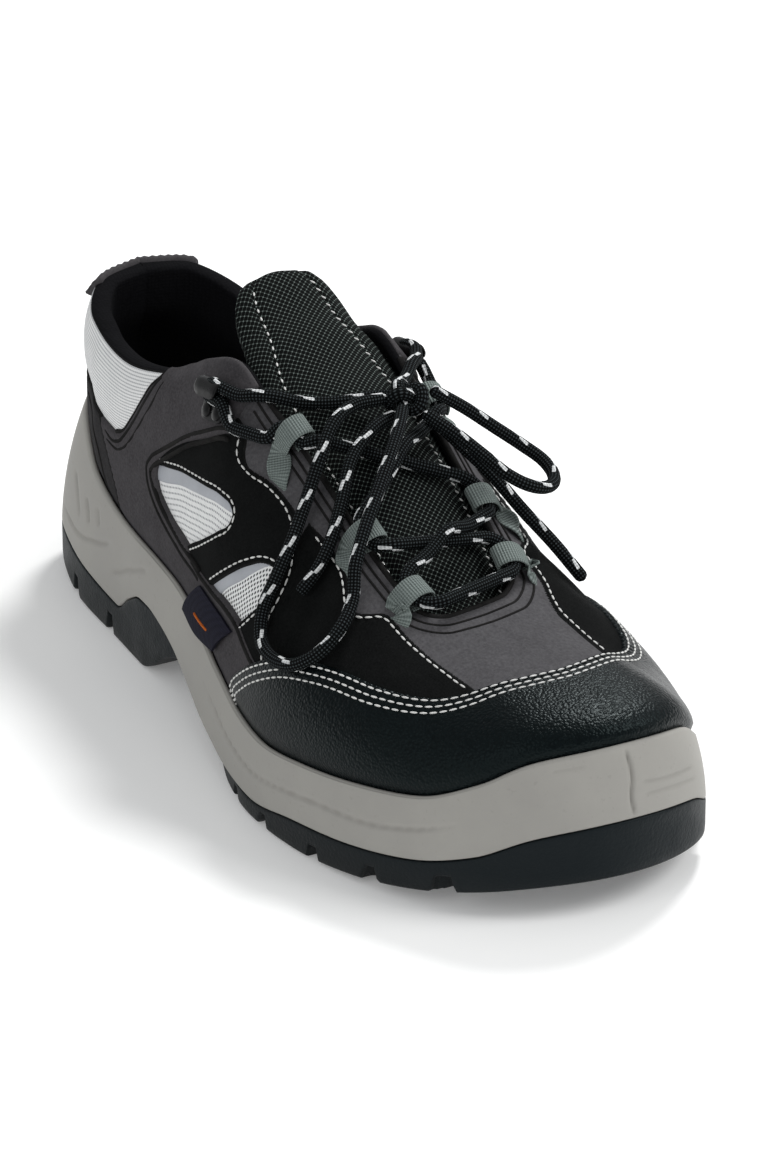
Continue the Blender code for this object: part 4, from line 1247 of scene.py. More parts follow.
def air_mesh():
    """Air mesh: pale ribs round the collar, close together, with a fine thread between them."""
    return add_material("pale_air_mesh", {"Roughness": 0.9, "Specular IOR Level": 0.15}, (
        *UV_NODES,
        ("climb", "Math", {"operation": "MULTIPLY"}, {0: ("split", 1), 1: 2 * math.pi / (1.05 * MM)}),
        ("run", "Math", {"operation": "MULTIPLY"}, {0: ("split", 0), 1: 2 * math.pi / (1.2 * MM)}),
        ("ribbing", "Math", {"operation": "SINE"}, {0: "climb"}),
        ("knots", "Math", {"operation": "SINE"}, {0: "run"}),
        ("weave", "Math", {"operation": "MULTIPLY_ADD"}, {0: "knots", 1: 0.3, 2: "ribbing"}),
        ("raised", "MapRange", SMOOTH, {"Value": "weave", "From Min": -1.2, "From Max": 0.3}),
        SPOT,
        ("cloudy", "TexNoise", {}, {"Vector": "spot", "Scale": 160.0, "Detail": 3.0, "Roughness": 0.6}),
        ("pale", "Mix", BLEND, {0: "cloudy", 6: "#d6d7d7", 7: "#ededec"}),
        ("Base Color", "Mix", BLEND, {0: "raised", 6: "#acadaf", 7: "pale"}),
        ("Normal", "Bump", {}, {"Strength": 0.5, "Distance": 0.2 * MM, "Height": "raised"}),
    ))


AIR_MESH = air_mesh()
for side_name, side_sign in SIDES:
    collar = add_panel(f"collar_pad_{side_name}", COLLAR_MESH, COLLAR_HEIGHT, AIR_MESH,
                       mirror=side_sign > 0, puff=COLLAR_PUFF)

# Vamp and eyestay
# Grey suede that covers the top of the forefoot and runs back along both sides of the throat,
# under the black panels. A black binding edges the throat, with two dark sewn lines beside it.

VAMP_FOOT = (
    (143, 0.70), (180, 0.70), (204, 0.66), (234, 0.60), (264, 0.53), (302, 0.53), (340, 0.53),
    (370, 0.60), (400, 0.66), (424, 0.70), (461, 0.70),
)
VAMP_HEIGHT = 0.9 * MM
VAMP_COLUMNS = 320
VAMP_ROWS = 26
BINDING_RADIUS = 0.95 * MM
BINDING_SHARE = 1.02
THROAT_LINES = (0.962, 0.925)
THROAT_POINTS = 300
THROAT_CORD = 0.38 * MM
PIPING_SIDES = 8


def slab(outer, inner):
    """Points and faces of a closed body between two grids of the same size."""
    rows, columns = outer.shape[:2]
    number = np.arange(rows * columns).reshape(rows, columns)
    quads = np.stack([number[:-1, :-1], number[:-1, 1:], number[1:, 1:], number[1:, :-1]], axis=-1)
    quads = quads.reshape(-1, 4)
    border = np.concatenate([number[0], number[1:, -1], number[-1, -2::-1], number[-2:0:-1, 0]])
    after = np.roll(border, -1)
    total = rows * columns
    walls = np.column_stack([after, border, border + total, after + total])
    faces = np.vstack([quads, quads[:, ::-1] + total, walls])
    return np.vstack([outer.reshape(-1, 3), inner.reshape(-1, 3)]), faces.tolist()


def add_vamp(material):
    """The vamp as a grid from its lower edge up to the throat, with both edges rounded."""
    rows = np.array(VAMP_FOOT)
    turns = turn_of(rows[:, 0])
    angle = np.linspace(turns[0], turns[-1], VAMP_COLUMNS)
    foot = np.interp(angle, turns, rows[:, 1])
    climb = np.linalg.norm(skin_frame(angle, (foot + 1) / 2)[2], axis=1)
    near = np.array([0, 0.05, 0.2, 0.5, 1.0, 1.6]) * MM
    low = foot + near[:, None] / climb
    high = 1 - near[::-1, None] / climb
    part = np.linspace(0, 1, VAMP_ROWS)[1:-1, None]
    shares = np.vstack([low, low[-1] * (1 - part) + high[0] * part, high])
    gap = np.concatenate([near, np.full(VAMP_ROWS - 2, 4 * MM), near[::-1]])
    gap = np.repeat(gap, VAMP_COLUMNS)
    size = shares.shape
    share = shares.ravel()
    point, _, _, normal = skin_frame(np.broadcast_to(angle, size).ravel(), share)
    rounding = np.clip(gap / VAMP_HEIGHT, 0, 1)
    top = panel_height(share, VAMP_HEIGHT) + EDGE_SINK
    rise = -EDGE_SINK + top * np.sqrt(1 - (1 - rounding) ** 2)
    worn = crease_depth(point)
    outer = point + normal * (rise - worn)[:, None]
    under = point - normal * (worn + EDGE_SINK + UNDER_DEPTH)[:, None]
    points, faces = slab(outer.reshape(*size, 3), under.reshape(*size, 3))
    piece = add_piece("vamp", points, faces, [material], edge=np.concatenate([gap, gap * 0]) / MM)
    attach(piece, "root")


def on_panel(flat, height, lift=0.0):
    """Evenly spaced points over a line on a panel's face."""
    point, _, _, normal = skin_frame(flat[:, 0], flat[:, 1])
    rise = panel_height(flat[:, 1], height) - crease_depth(point) + lift
    return smooth_route(point + normal * rise[:, None], 1.2 * MM)


def add_piping(name, lines, material):
    """Round cords along lines of points, each with its radius, as one piece."""
    points, faces, count = [], [], 0
    for path, radius in lines:
        spots, sides, _ = tube(path, radius, PIPING_SIDES)
        faces += [tuple(count + i for i in side) for side in sides]
        points.append(spots)
        count += len(spots)
    piece = add_piece(name, np.vstack(points), faces, [material])
    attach(piece, "root")


GREY_SUEDE = napped_leather("grey_suede", "#424143", "#555456", nap_mm=0.5)
BLACK_PIPING = napped_leather("black_piping", "#070707", "#131313", nap_mm=0.3)
add_vamp(GREY_SUEDE)
throat_turns = np.linspace(turn_of(152), turn_of(452), THROAT_POINTS)
throat_cords = []
for throat_share, panel, radius in (
    (BINDING_SHARE, 0.0, BINDING_RADIUS),
    *[(share, VAMP_HEIGHT, THROAT_CORD) for share in THROAT_LINES],
):
    throat_line = np.column_stack([throat_turns, np.full(THROAT_POINTS, throat_share)])
    throat_cords.append((on_panel(throat_line, panel), radius))
add_piping("throat_binding", throat_cords, BLACK_PIPING)

# Black side panels and wings
# Black nubuck sewn over the windows and the vamp. Its scalloped edges run between the webbing
# loops, each with a row of white stitches.

BLACK_HEIGHT = 1.6 * MM
WING_HEIGHT = BLACK_HEIGHT * 0.9
WING_SEAM = 1.9 * MM
WINDOW_SEAM = 2.0 * MM
SIDE_TOP = (
    (152, 0.845), (146, 0.85), (133, 0.76), (112, 0.69), (98, 0.61), (91, 0.54), (87.5, 0.45),
    (88, 0.36), (94, 0.27), (104, 0.20), (118, 0.155), (140, 0.14), (165, 0.17), (180, 0.18),
    (195, 0.19),
)
SIDE_FRONT = (
    (195, 0.19), (196, 0.30), (193.5, 0.37), (194, 0.45), (196.4, 0.565), (196.6, 0.665),
    (194.2, 0.75), (190.4, 0.797), (185.6, 0.828), (180.5, 0.828), (174, 0.82), (168.1, 0.803),
    (161.5, 0.775), (157, 0.762), (154.2, 0.78), (153.4, 0.815), (152, 0.845),
)
SIDE_STITCHES = (
    (149.9, 0.82), (149.7, 0.79), (150.3, 0.755), (152.6, 0.738), (156.9, 0.742), (162.2, 0.755),
    (168.1, 0.78), (174.6, 0.795), (180.5, 0.80), (183.9, 0.793), (187.5, 0.77), (191.2, 0.725),
    (193.4, 0.655), (193.2, 0.56), (191, 0.45), (190.6, 0.375), (192.8, 0.31),
)
WING_EDGE = {
    "lateral": (
        (192, 0.85), (199.5, 0.868), (207, 0.875), (213, 0.868), (217.5, 0.835), (221, 0.80),
        (225, 0.788), (230, 0.83), (235.4, 0.885), (242.9, 0.895), (252, 0.876), (261, 0.842),
        (270, 0.795), (278, 0.735), (284, 0.665), (289, 0.56),
    ),
    "medial": (
        (192, 0.85), (198, 0.862), (203, 0.845), (207, 0.80), (212, 0.80), (219.6, 0.855),
        (226, 0.905), (231, 0.92), (236, 0.903), (242.4, 0.895), (256.8, 0.883), (267.9, 0.845),
        (273.5, 0.795), (279.4, 0.73), (284, 0.655), (289, 0.55),
    ),
}
WING_FOOT = (
    (289, 0.545), (264, 0.50), (244, 0.49), (222, 0.41), (207, 0.34), (195, 0.24), (191.5, 0.20),
)
WING_BACK = ((191.5, 0.20), (191, 0.35), (192, 0.50), (192.6, 0.65), (191, 0.78), (192, 0.85))
BLACK_NUBUCK = napped_leather("black_nubuck", "#080909", "#141515", nap_mm=0.3)

white_rows = []


def sew(rows, flat, height, mirror=False):
    """Keeps a line of stitches on a panel's face, with its points and outward directions."""
    flat = sided(flat, mirror)
    point, _, _, normal = skin_frame(flat[:, 0], flat[:, 1])
    lift = panel_height(flat[:, 1], height) - crease_depth(point) + 0.02 * MM
    rows.append((point + normal * lift[:, None], normal))


for side_name, side_sign in SIDES:
    inner_side = side_sign > 0
    wing = WING_EDGE[side_name]
    add_panel(f"wing_{side_name}", (wing, (wing[-1], WING_FOOT[0]), WING_FOOT, WING_BACK),
              WING_HEIGHT, BLACK_NUBUCK, mirror=inner_side)
    add_panel(f"side_panel_{side_name}", (SIDE_TOP, SIDE_FRONT), BLACK_HEIGHT, BLACK_NUBUCK,
              holes=(REAR_WINDOW, FRONT_WINDOW), mirror=inner_side)
    sew(white_rows, moved(seam(wing[1:-1]), -WING_SEAM), WING_HEIGHT, inner_side)
    sew(white_rows, seam(SIDE_STITCHES), BLACK_HEIGHT, inner_side)
    sew(white_rows, moved(seam(REAR_WINDOW[:11]), WINDOW_SEAM), BLACK_HEIGHT, inner_side)
    sew(white_rows, moved(seam(FRONT_WINDOW[:10]), WINDOW_SEAM), BLACK_HEIGHT, inner_side)

# Quarters
# Charcoal nubuck from the collar's front edge back and down round the windows, to a strip along
# the sole. Two black piped lines follow its wave, one the edge of the strip, and three the
# collar's padding.

QUARTER_HEIGHT = 2.2 * MM
QUARTER_COLLAR = ((94, 1.045), (105, 1.045), (120, 1.045), (138, 1.04), (150, 1.02))
QUARTER_FRONT = ((150, 1.02), (147.5, 0.90), (145.3, 0.82), (144.6, 0.77))
QUARTER_WAVE = (
    (144.6, 0.77), (133.3, 0.70), (122.2, 0.665), (111.9, 0.63), (103.1, 0.59), (98.1, 0.545),
    (95.6, 0.51), (94.8, 0.447), (96, 0.393), (101.2, 0.33), (109.4, 0.267), (120.3, 0.232),
    (130, 0.216), (139.2, 0.22), (149, 0.245), (162.8, 0.285), (174, 0.303), (181.7, 0.285),
    (190, 0.268),
)
QUARTER_END = ((190, 0.268), (186, 0.20), (176.5, 0.06), (173, -0.02), (172, -0.20))
QUARTER_FOOT = ((172, -0.20), (150, -0.20), (130, -0.20), (100, -0.20), (66, -0.20))
QUARTER_HEEL = (
    (66, -0.20), (64.8, -0.02), (63.4, 0.11), (60.2, 0.195), (55.5, 0.305), (52.4, 0.38),
    (50, 0.455), (49, 0.50),
)
QUARTER_PAD = (
    (49, 0.50), (57, 0.511), (62, 0.519), (66.3, 0.554), (73.8, 0.681), (80.7, 0.82), (86.6, 0.931),
    (91, 0.99), (94, 1.045),
)
CHARCOAL_NUBUCK = napped_leather("charcoal_nubuck", "#383638", "#494749", nap_mm=0.4)
WAVE_LINE = (
    (145.1, 0.82), (131.3, 0.76), (118.3, 0.72), (108.1, 0.68), (97.5, 0.628), (90.2, 0.565),
    (86.6, 0.487), (87.2, 0.411), (90.2, 0.333), (95, 0.269), (104.3, 0.193), (117.7, 0.137),
    (136.5, 0.15),
)
PAD_LINE_REAR = (
    (91.4, 0.975), (83.6, 0.829), (76.1, 0.675), (69.3, 0.551), (64.9, 0.483), (59.6, 0.442),
    (54.5, 0.454),
)
PAD_LINE_FRONT = (
    (94.4, 0.96), (88.4, 0.823), (80.7, 0.673), (74.4, 0.556), (68.8, 0.471), (63.3, 0.418),
    (55.5, 0.405),
)
quarter_runs = (
    QUARTER_COLLAR, QUARTER_FRONT, QUARTER_WAVE, QUARTER_END, QUARTER_FOOT, QUARTER_HEEL, QUARTER_PAD,
)
sunk_lines = [(0.9, 0.35, WAVE_LINE), (0.9, 0.35, PAD_LINE_REAR), (0.8, 0.3, PAD_LINE_FRONT)]
for side_name, side_sign in SIDES:
    inner_side = side_sign > 0
    add_panel(f"quarter_{side_name}", quarter_runs, QUARTER_HEIGHT, CHARCOAL_NUBUCK, mirror=inner_side,
              lines=inner_lines(sunk_lines) if inner_side else sunk_lines)
    cords = []
    for line, radius, lift in (
        (moved(seam(WAVE_LINE), 2.2 * MM), 0.85, -0.5),
        (moved(seam(WAVE_LINE), 5.2 * MM), 0.8, -0.4),
        (moved(seam(QUARTER_WAVE[12:]), -1.4 * MM), 0.8, -0.4),
        (seam(PAD_LINE_REAR), 0.7, -0.6),
        (seam(PAD_LINE_FRONT), 0.55, -0.5),
        (seam(QUARTER_PAD[2:-1]), 0.75, -1.0),
    ):
        cords.append((on_panel(sided(line, inner_side), QUARTER_HEIGHT, lift * MM), radius * MM))
    add_piping(f"quarter_piping_{side_name}", cords, BLACK_PIPING)

# Heel counter, back strip and heel tab
# A stiff dark nubuck cup round the heel, edged with black piping, with a narrow strip up the
# middle of the back and a charcoal tab over the collar's roll.

COUNTER_HEIGHT = 1.9 * MM
STRIP_HEIGHT = 3.0 * MM
TAB_HEIGHT = 3.8 * MM
COUNTER_TOP = ((49.5, 0.495), (44, 0.499), (36, 0.476), (20, 0.34), (8, 0.258), (0, 0.23))
COUNTER_FOOT = ((-66.5, -0.20), (-40, -0.20), (0, -0.20), (40, -0.20), (66.5, -0.20))
COUNTER_SIDE = (
    (66.5, -0.20), (65.3, -0.02), (63.9, 0.11), (60.7, 0.195), (56, 0.305), (53, 0.38), (50.5, 0.455),
    (49.5, 0.495),
)
COUNTER = (
    COUNTER_TOP + inner_rows(COUNTER_TOP[-2::-1]), inner_rows(COUNTER_SIDE[::-1]), COUNTER_FOOT, COUNTER_SIDE,
)
COUNTER_LINE = (
    (60.5, -0.04), (54.5, 0.05), (51, 0.12), (48.5, 0.2), (45.5, 0.275), (41, 0.32), (35.3, 0.35), (28, 0.33),
)
BACK_STRIP = (
    ((1.0, -0.20), (1.0, 0.4), (1.0, 0.93)),
    ((1.0, 0.93), (0, 0.93), (-1.0, 0.93)),
    ((-1.0, 0.93), (-1.0, 0.4), (-1.0, -0.20)),
    ((-1.0, -0.20), (0, -0.20), (1.0, -0.20)),
)
HEEL_TAB = (
    ((12, 1.05), (6, 1.05), (1.5, 1.05), (0, 1.05), (-1.5, 1.05), (-6, 1.05), (-12, 1.05)),
    ((-12, 1.05), (-12.5, 0.97), (-12, 0.90)),
    ((-12, 0.90), (-6, 0.885), (-1.5, 0.88), (0, 0.88), (1.5, 0.88), (6, 0.885), (12, 0.90)),
    ((12, 0.90), (12.5, 0.97), (12, 1.05)),
)
DARK_NUBUCK = napped_leather("dark_nubuck", "#262526", "#353435", nap_mm=0.35)
add_panel("heel_counter", COUNTER, COUNTER_HEIGHT, DARK_NUBUCK)
add_panel("back_strip", BACK_STRIP, STRIP_HEIGHT, BLACK_NUBUCK)
add_panel("heel_tab", HEEL_TAB, TAB_HEIGHT, CHARCOAL_NUBUCK)
heel_cords = []
for inner_side in (False, True):
    for line, radius, lift in (
        (seam(COUNTER_SIDE[1:]), 0.8, -0.6),
        (seam(COUNTER_LINE), 0.6, -0.3),
        (seam(COUNTER_TOP), 0.7, -0.7),
    ):
        heel_cords.append((on_panel(sided(line, inner_side), COUNTER_HEIGHT, lift * MM), radius * MM))
add_piping("heel_piping", heel_cords, BLACK_PIPING)

# Toe cap
# Black coated leather with a pressed grain, pulled over the steel cap and cemented. Three rows
# of white stitches run along its edge.

CAP_HEIGHT = 2.7 * MM
CAP_SEAMS = (1.7 * MM, 3.9 * MM, 6.1 * MM)
CAP_EDGE = (
    (168, -0.02), (171, 0.06), (182, 0.20), (193, 0.305), (207, 0.415), (222, 0.495), (244, 0.575),
    (264, 0.59), (284, 0.605), (302, 0.612), (320, 0.60), (340, 0.565), (360, 0.55), (382, 0.47),
    (397, 0.40), (411, 0.30), (422, 0.20), (433, 0.06), (436, -0.02),
)
CAP = (
    CAP_EDGE[::-1],
    ((168, -0.02), (167, -0.1), (167, -0.2)),
    ((167, -0.2), (200, -0.2), (240, -0.2), (280, -0.2), (302, -0.2), (324, -0.2), (364, -0.2),
     (404, -0.2), (437, -0.2)),
    ((437, -0.2), (437, -0.1), (436, -0.02)),
)


def coated_leather():
    """Coated leather: a pressed pebble grain under a thin polymer film with a broken gloss."""
    surface = {"Specular IOR Level": 0.12, "Specular Tint": linear_colour("#d2eeee")}
    return add_material("black_coated_leather", surface, (
        SPOT,
        ("pebbles", "TexVoronoi", {"feature": "SMOOTH_F1"}, {
            "Vector": "spot", "Scale": 1000 / 0.85, "Smoothness": 0.35, "Randomness": 1.0}),
        ("pores", "TexNoise", {}, {"Vector": "spot", "Scale": 1500.0, "Detail": 3.0, "Roughness": 0.6}),
        ("scuffs", "TexNoise", {}, {
            "Vector": "spot", "Scale": 45.0, "Detail": 6.0, "Roughness": 0.65, "Distortion": 0.8}),
        ("grain", "Math", {"operation": "MULTIPLY_ADD"}, {0: "pores", 1: -0.35, 2: "pebbles"}),
        ("Base Color", "Mix", BLEND, {0: "grain", 6: "#060b0d", 7: "#020304"}),
        ("Roughness", "MapRange", {}, {
            "Value": "scuffs", "From Min": 0.3, "From Max": 0.7, "To Min": 0.28, "To Max": 0.38}),
        ("Normal", "Bump", {"invert": True}, {"Strength": 0.8, "Distance": 0.26 * MM, "Height": "grain"}),
    ))


toe_cap = add_panel("toe_cap_leather", CAP, CAP_HEIGHT, coated_leather())
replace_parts(toe_cap, "toe_cap")
for cap_seam in CAP_SEAMS:
    sew(white_rows, moved(seam(CAP_EDGE), -cap_seam), CAP_HEIGHT)

# Woven tag
# A small navy woven label, plain but for one orange line. Its upper edge is sewn to the strip of
# the outer side, and it hangs over the rim of the sole.

TAG_LIFT = 3.1 * MM
TAG_THICKNESS = 0.8 * MM
TAG_STEPS = 24
TAG_BULGE = 1.2 * MM

# The upper edge on the strip (place, share) and the lower edge over the rim of the sole (mm)
TAG_TOP = ((141.0, 0.185), (156, 0.222), (171.6, 0.253))
TAG_LOW = ((127.3, -44.2, 33.6), (142.2, -48.0, 32.6), (158.0, -50.6, 34.0))
TAG_LINE = (0.33, 0.7, 0.55)


def woven_label(name, deep, raised):
    """Woven label: fine yarns in a tight plain weave."""
    return add_material(name, {"Roughness": 0.9, "Specular IOR Level": 0.1}, (
        SPOT,
        ("yarns", "TexVoronoi", {"feature": "F1"}, {
            "Vector": "spot", "Scale": 1000 / 0.7, "Randomness": 0.15}),
        ("Base Color", "Mix", BLEND, {0: "yarns", 6: raised, 7: deep}),
        ("Normal", "Bump", {"invert": True}, {"Strength": 0.6, "Distance": 0.2 * MM, "Height": "yarns"}),
    ))


def tag_face(across, down):
    """Points of the tag's outer face: it hangs from the strip over the rim of the sole."""
    top = seam(TAG_TOP)
    point, _, _, normal = skin_frame(top[:, 0], top[:, 1])
    top = point + normal * TAG_LIFT
    low = smooth_route(np.array(TAG_LOW) * MM, 0.8 * MM)
    top, low = [
        np.column_stack([np.interp(across, route_lengths(edge) / route_lengths(edge)[-1], edge[:, axis])
                         for axis in range(3)]) for edge in (top, low)]
    bulge = TAG_BULGE * 4 * down * (1 - down)
    return top * (1 - down) + low * down + np.array([0.0, -0.9, 0.3]) * bulge


def add_tag():
    shares = np.linspace(0, 1, TAG_STEPS)
    outer = np.array([tag_face(shares, down) for down in shares])
    inner = outer + np.array([0.0, 1.0, -0.25]) * TAG_THICKNESS
    points, faces = slab(outer, inner)
    label = woven_label("navy_woven_label", "#0b0b13", "#20202e")
    piece = add_piece("woven_tag", points, [face[::-1] for face in faces], [label])
    piece.data.set_sharp_from_angle(angle=SHARP_ANGLE)
    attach(piece, "root")


add_tag()
tag_line = tag_face(np.linspace(TAG_LINE[0], TAG_LINE[1], 20), TAG_LINE[2])
add_piping("tag_line", [(tag_line, 0.45 * MM)], woven_label("orange_yarn", "#7a3a10", "#c8692a"))

# Stitches
# White polyester thread in lock stitches along the black panels and the toe cap. Each stitch is a
# short plump bead that dips into the leather at its ends.

STITCH_PITCH = 2.9 * MM
STITCH_LENGTH = 2.5 * MM
THREAD_WIDTH = 0.64 * MM
THREAD_HEIGHT = 0.6 * MM


def stitch_tree():
    tree = bpy.data.node_groups.new("stitch_row", "GeometryNodeTree")
    tree.interface.new_socket("Geometry", in_out="INPUT", socket_type="NodeSocketGeometry")
    for name in ("Pitch", "Length", "Width", "Height"):
        tree.interface.new_socket(name, in_out="INPUT", socket_type="NodeSocketFloat")
    tree.interface.new_socket("Thread", in_out="INPUT", socket_type="NodeSocketMaterial")
    tree.interface.new_socket("Geometry", in_out="OUTPUT", socket_type="NodeSocketGeometry")
    given = add_node(tree, "NodeGroupInput").outputs
    line = add_node(tree, "GeometryNodeMeshToCurve", {}, {"Mesh": given["Geometry"]})
    spread = add_node(tree, "GeometryNodeResampleCurve", {"mode": "LENGTH"}, {
        "Curve": line.outputs[0], "Length": given["Pitch"]})
    run = add_node(tree, "GeometryNodeInputTangent")
    rise = add_node(tree, "GeometryNodeInputNamedAttribute", {"data_type": "FLOAT_VECTOR"}, {
        "Name": "rise"})
    turn = add_node(tree, "FunctionNodeAxesToRotation", {
        "primary_axis": "Z", "secondary_axis": "X"}, {
        "Primary Axis": rise.outputs[0], "Secondary Axis": run.outputs[0]})
    bead = add_node(tree, "GeometryNodeMeshUVSphere", {}, {
        "Segments": 8, "Rings": 5, "Radius": 0.5})
    size = add_node(tree, "ShaderNodeCombineXYZ", {}, {
        0: given["Length"], 1: given["Width"], 2: given["Height"]})
    spots = add_node(tree, "GeometryNodeInstanceOnPoints", {}, {
        "Points": spread.outputs[0], "Instance": bead.outputs[0],
        "Rotation": turn.outputs[0], "Scale": size.outputs[0]})
    whole = add_node(tree, "GeometryNodeRealizeInstances", {}, {0: spots.outputs[0]})
    smooth = add_node(tree, "GeometryNodeSetShadeSmooth", {}, {0: whole.outputs[0]})
    thread = add_node(tree, "GeometryNodeSetMaterial", {}, {
        0: smooth.outputs[0], "Material": given["Thread"]})
    add_node(tree, "NodeGroupOutput", {}, {0: thread.outputs[0]})
    return tree


def thread_material(name, deep, raised):
    """Bonded polyester thread: a smooth twist with a soft shine, dulled a little by dirt."""
    return add_material(name, {"Roughness": 0.6}, (
        SPOT,
        ("dirt", "TexNoise", {}, {"Vector": "spot", "Scale": 260.0, "Detail": 3.0}),
        ("twist", "TexNoise", {}, {"Vector": "spot", "Scale": 2600.0}),
        ("Base Color", "Mix", BLEND, {0: "dirt", 6: deep, 7: raised}),
        ("Normal", "Bump", {}, {"Strength": 0.5, "Distance": 0.1 * MM, "Height": "twist"}),
    ))


STITCH_TREE = stitch_tree()


def add_stitches(name, rows, sizes, material):
    points = np.vstack([to_frame(row[0]) for row in rows])
    rises = np.vstack([row[1] for row in rows])
    edges, count = [], 0
    for row in rows:
        edges += [(count + i, count + i + 1) for i in range(len(row[0]) - 1)]
        count += len(row[0])
    lines = bpy.data.meshes.new(name + "_lines")
    lines.from_pydata(points.tolist(), edges, [])
    attribute = lines.attributes.new("rise", "FLOAT_VECTOR", "POINT")
    attribute.data.foreach_set("vector", rises.ravel())
    holder = bpy.data.objects.new(name + "_lines", lines)
    bpy.context.scene.collection.objects.link(holder)
    modifier = holder.modifiers.new("stitches", "NODES")
    modifier.node_group = STITCH_TREE
    sockets = {s.name: s.identifier for s in STITCH_TREE.interface.items_tree if s.in_out == "INPUT"}
    for socket, value in sizes.items():
        modifier[sockets[socket]] = value
    modifier[sockets["Thread"]] = material
    bpy.context.view_layer.update()
    graph = bpy.context.evaluated_depsgraph_get()
    mesh = bpy.data.meshes.new_from_object(holder.evaluated_get(graph))
    bpy.data.objects.remove(holder, do_unlink=True)
    piece = bpy.data.objects.new(name, mesh)
    bpy.context.scene.collection.objects.link(piece)
    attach(piece, "root")


STITCH_SIZES = {
    "Pitch": STITCH_PITCH, "Length": STITCH_LENGTH, "Width": THREAD_WIDTH, "Height": THREAD_HEIGHT,
}
WHITE_THREAD = thread_material("white_thread", "#b4b4b1", "#e8e8e5")
add_stitches("white_stitches", white_rows, STITCH_SIZES, WHITE_THREAD)

# Tongue
# A foam pad in coarse black mesh, sewn in at the front of the throat, with its sides tucked under
# the eyestay and its top edge free. A white sewn line runs along each side.

TONGUE_THICKNESS = 5.0 * MM
TONGUE_CLEARANCE = 1.4 * MM
TONGUE_ARCH = 30 * MM
TONGUE_CORNER = 13 * MM
TONGUE_END = 5 * MM
TONGUE_PASSES = 4
LOOK_UP_FROM = 40 * MM
TONGUE_ROWS = 76
TONGUE_COLUMNS = 49

# The tongue's sewn lines: place and breadth as shares of its half breadth, and depth
TONGUE_SEAM = 0.6
TONGUE_SEAM_BREADTH = 0.05
TONGUE_SEAM_DEPTH = 0.9 * MM

# Place along the shoe, half breadth, crown above the throat's edge
TONGUE = (
    (105, 18, 19.0),
    (121, 19, 9.0),
    (137, 25, 5.0),
    (154, 28, 5.0),
    (173, 28, 4.6),
    (192, 27, 3.0),
    (208, 25, -0.6),
    (220, 22, -4.8),
    (232, 19, -7.0),
)


def tree_of(piece):
    bpy.context.view_layer.update()
    return BVHTree.FromObject(piece, bpy.context.evaluated_depsgraph_get())


SHELL_TREE = tree_of(shell)


def throat_height(place):
    """Height of the throat's edge at places along the shoe."""
    rows = np.array(OPENING)
    rows = rows[rows[:, 0] >= 138]
    return np.interp(place, rows[:, 1] * MM, rows[:, 4] * MM)


def tongue_mesh():
    """Coarse spacer mesh: a net of dull grey-green threads over black, brighter at their knots."""
    return add_material("black_spacer_mesh", {"Roughness": 0.9, "Specular IOR Level": 0.08}, (
        UV_NODES[0],
        ("turned", "VectorRotate", {"rotation_type": "Z_AXIS"}, {"Vector": "uv", "Angle": math.radians(45)}),
        ("scaled", "VectorMath", {"operation": "SCALE"}, {0: "turned", "Scale": 2 * math.pi / (1.35 * MM)}),
        ("waves", "VectorMath", {"operation": "SINE"}, {0: "scaled"}),
        ("split", "SeparateXYZ", {}, {0: "waves"}),
        ("net", "Math", {"operation": "MAXIMUM"}, {0: ("split", 0), 1: ("split", 1)}),
        ("both", "Math", {"operation": "ADD"}, {0: ("split", 0), 1: ("split", 1)}),
        ("thread", "MapRange", SMOOTH, {"Value": "net", "From Min": 0.45, "From Max": 0.95}),
        ("knots", "MapRange", SMOOTH, {"Value": "both", "From Min": 1.2, "From Max": 1.9}),
        ("yarn", "Mix", BLEND, {0: "knots", 6: "#2b302e", 7: "#6b7470"}),
        ("Base Color", "Mix", BLEND, {0: "thread", 6: "#040505", 7: "yarn"}),
        ("Normal", "Bump", {}, {"Strength": 1.0, "Distance": 0.45 * MM, "Height": "thread"}),
    ))


def tongue_face():
    """Top face of the tongue: it stays clear of the upper that covers its sides."""
    rows = np.array(TONGUE) * MM
    places = np.linspace(rows[0, 0], rows[-1, 0], TONGUE_ROWS)
    shape = along_table(rows[:, 0], rows[:, 1:], smooth_slopes(rows[:, 0], rows[:, 1:]), places)
    shares = np.sin(np.linspace(-math.pi / 2, math.pi / 2, TONGUE_COLUMNS))
    grid = np.empty((TONGUE_ROWS, TONGUE_COLUMNS, 3))
    for i, place in enumerate(places):
        breadth, crown = shape[i]
        corner = 1 - min((place - rows[0, 0]) / TONGUE_CORNER, 1)
        breadth *= 0.45 + 0.55 * math.sqrt(1 - corner**2)
        for j, share in enumerate(shares):
            side = share * breadth
            height = throat_height(place) + crown - side**2 / (2 * TONGUE_ARCH)
            start = Vector(to_frame([place, side, height - LOOK_UP_FROM]))
            hit = SHELL_TREE.ray_cast(start, Vector((0, 0, 1)))[0]
            if hit is not None:
                height = min(height, hit.z - TONGUE_CLEARANCE)
            grid[i, j] = (place, side, height)
    for _ in range(TONGUE_PASSES):
        z = np.pad(grid[:, :, 2], 1, mode="edge")
        soft = (z[:-2, 1:-1] + z[2:, 1:-1] + z[1:-1, :-2] + z[1:-1, 2:]) / 4
        grid[:, :, 2] = np.minimum(grid[:, :, 2], soft)
    return grid, shares, places


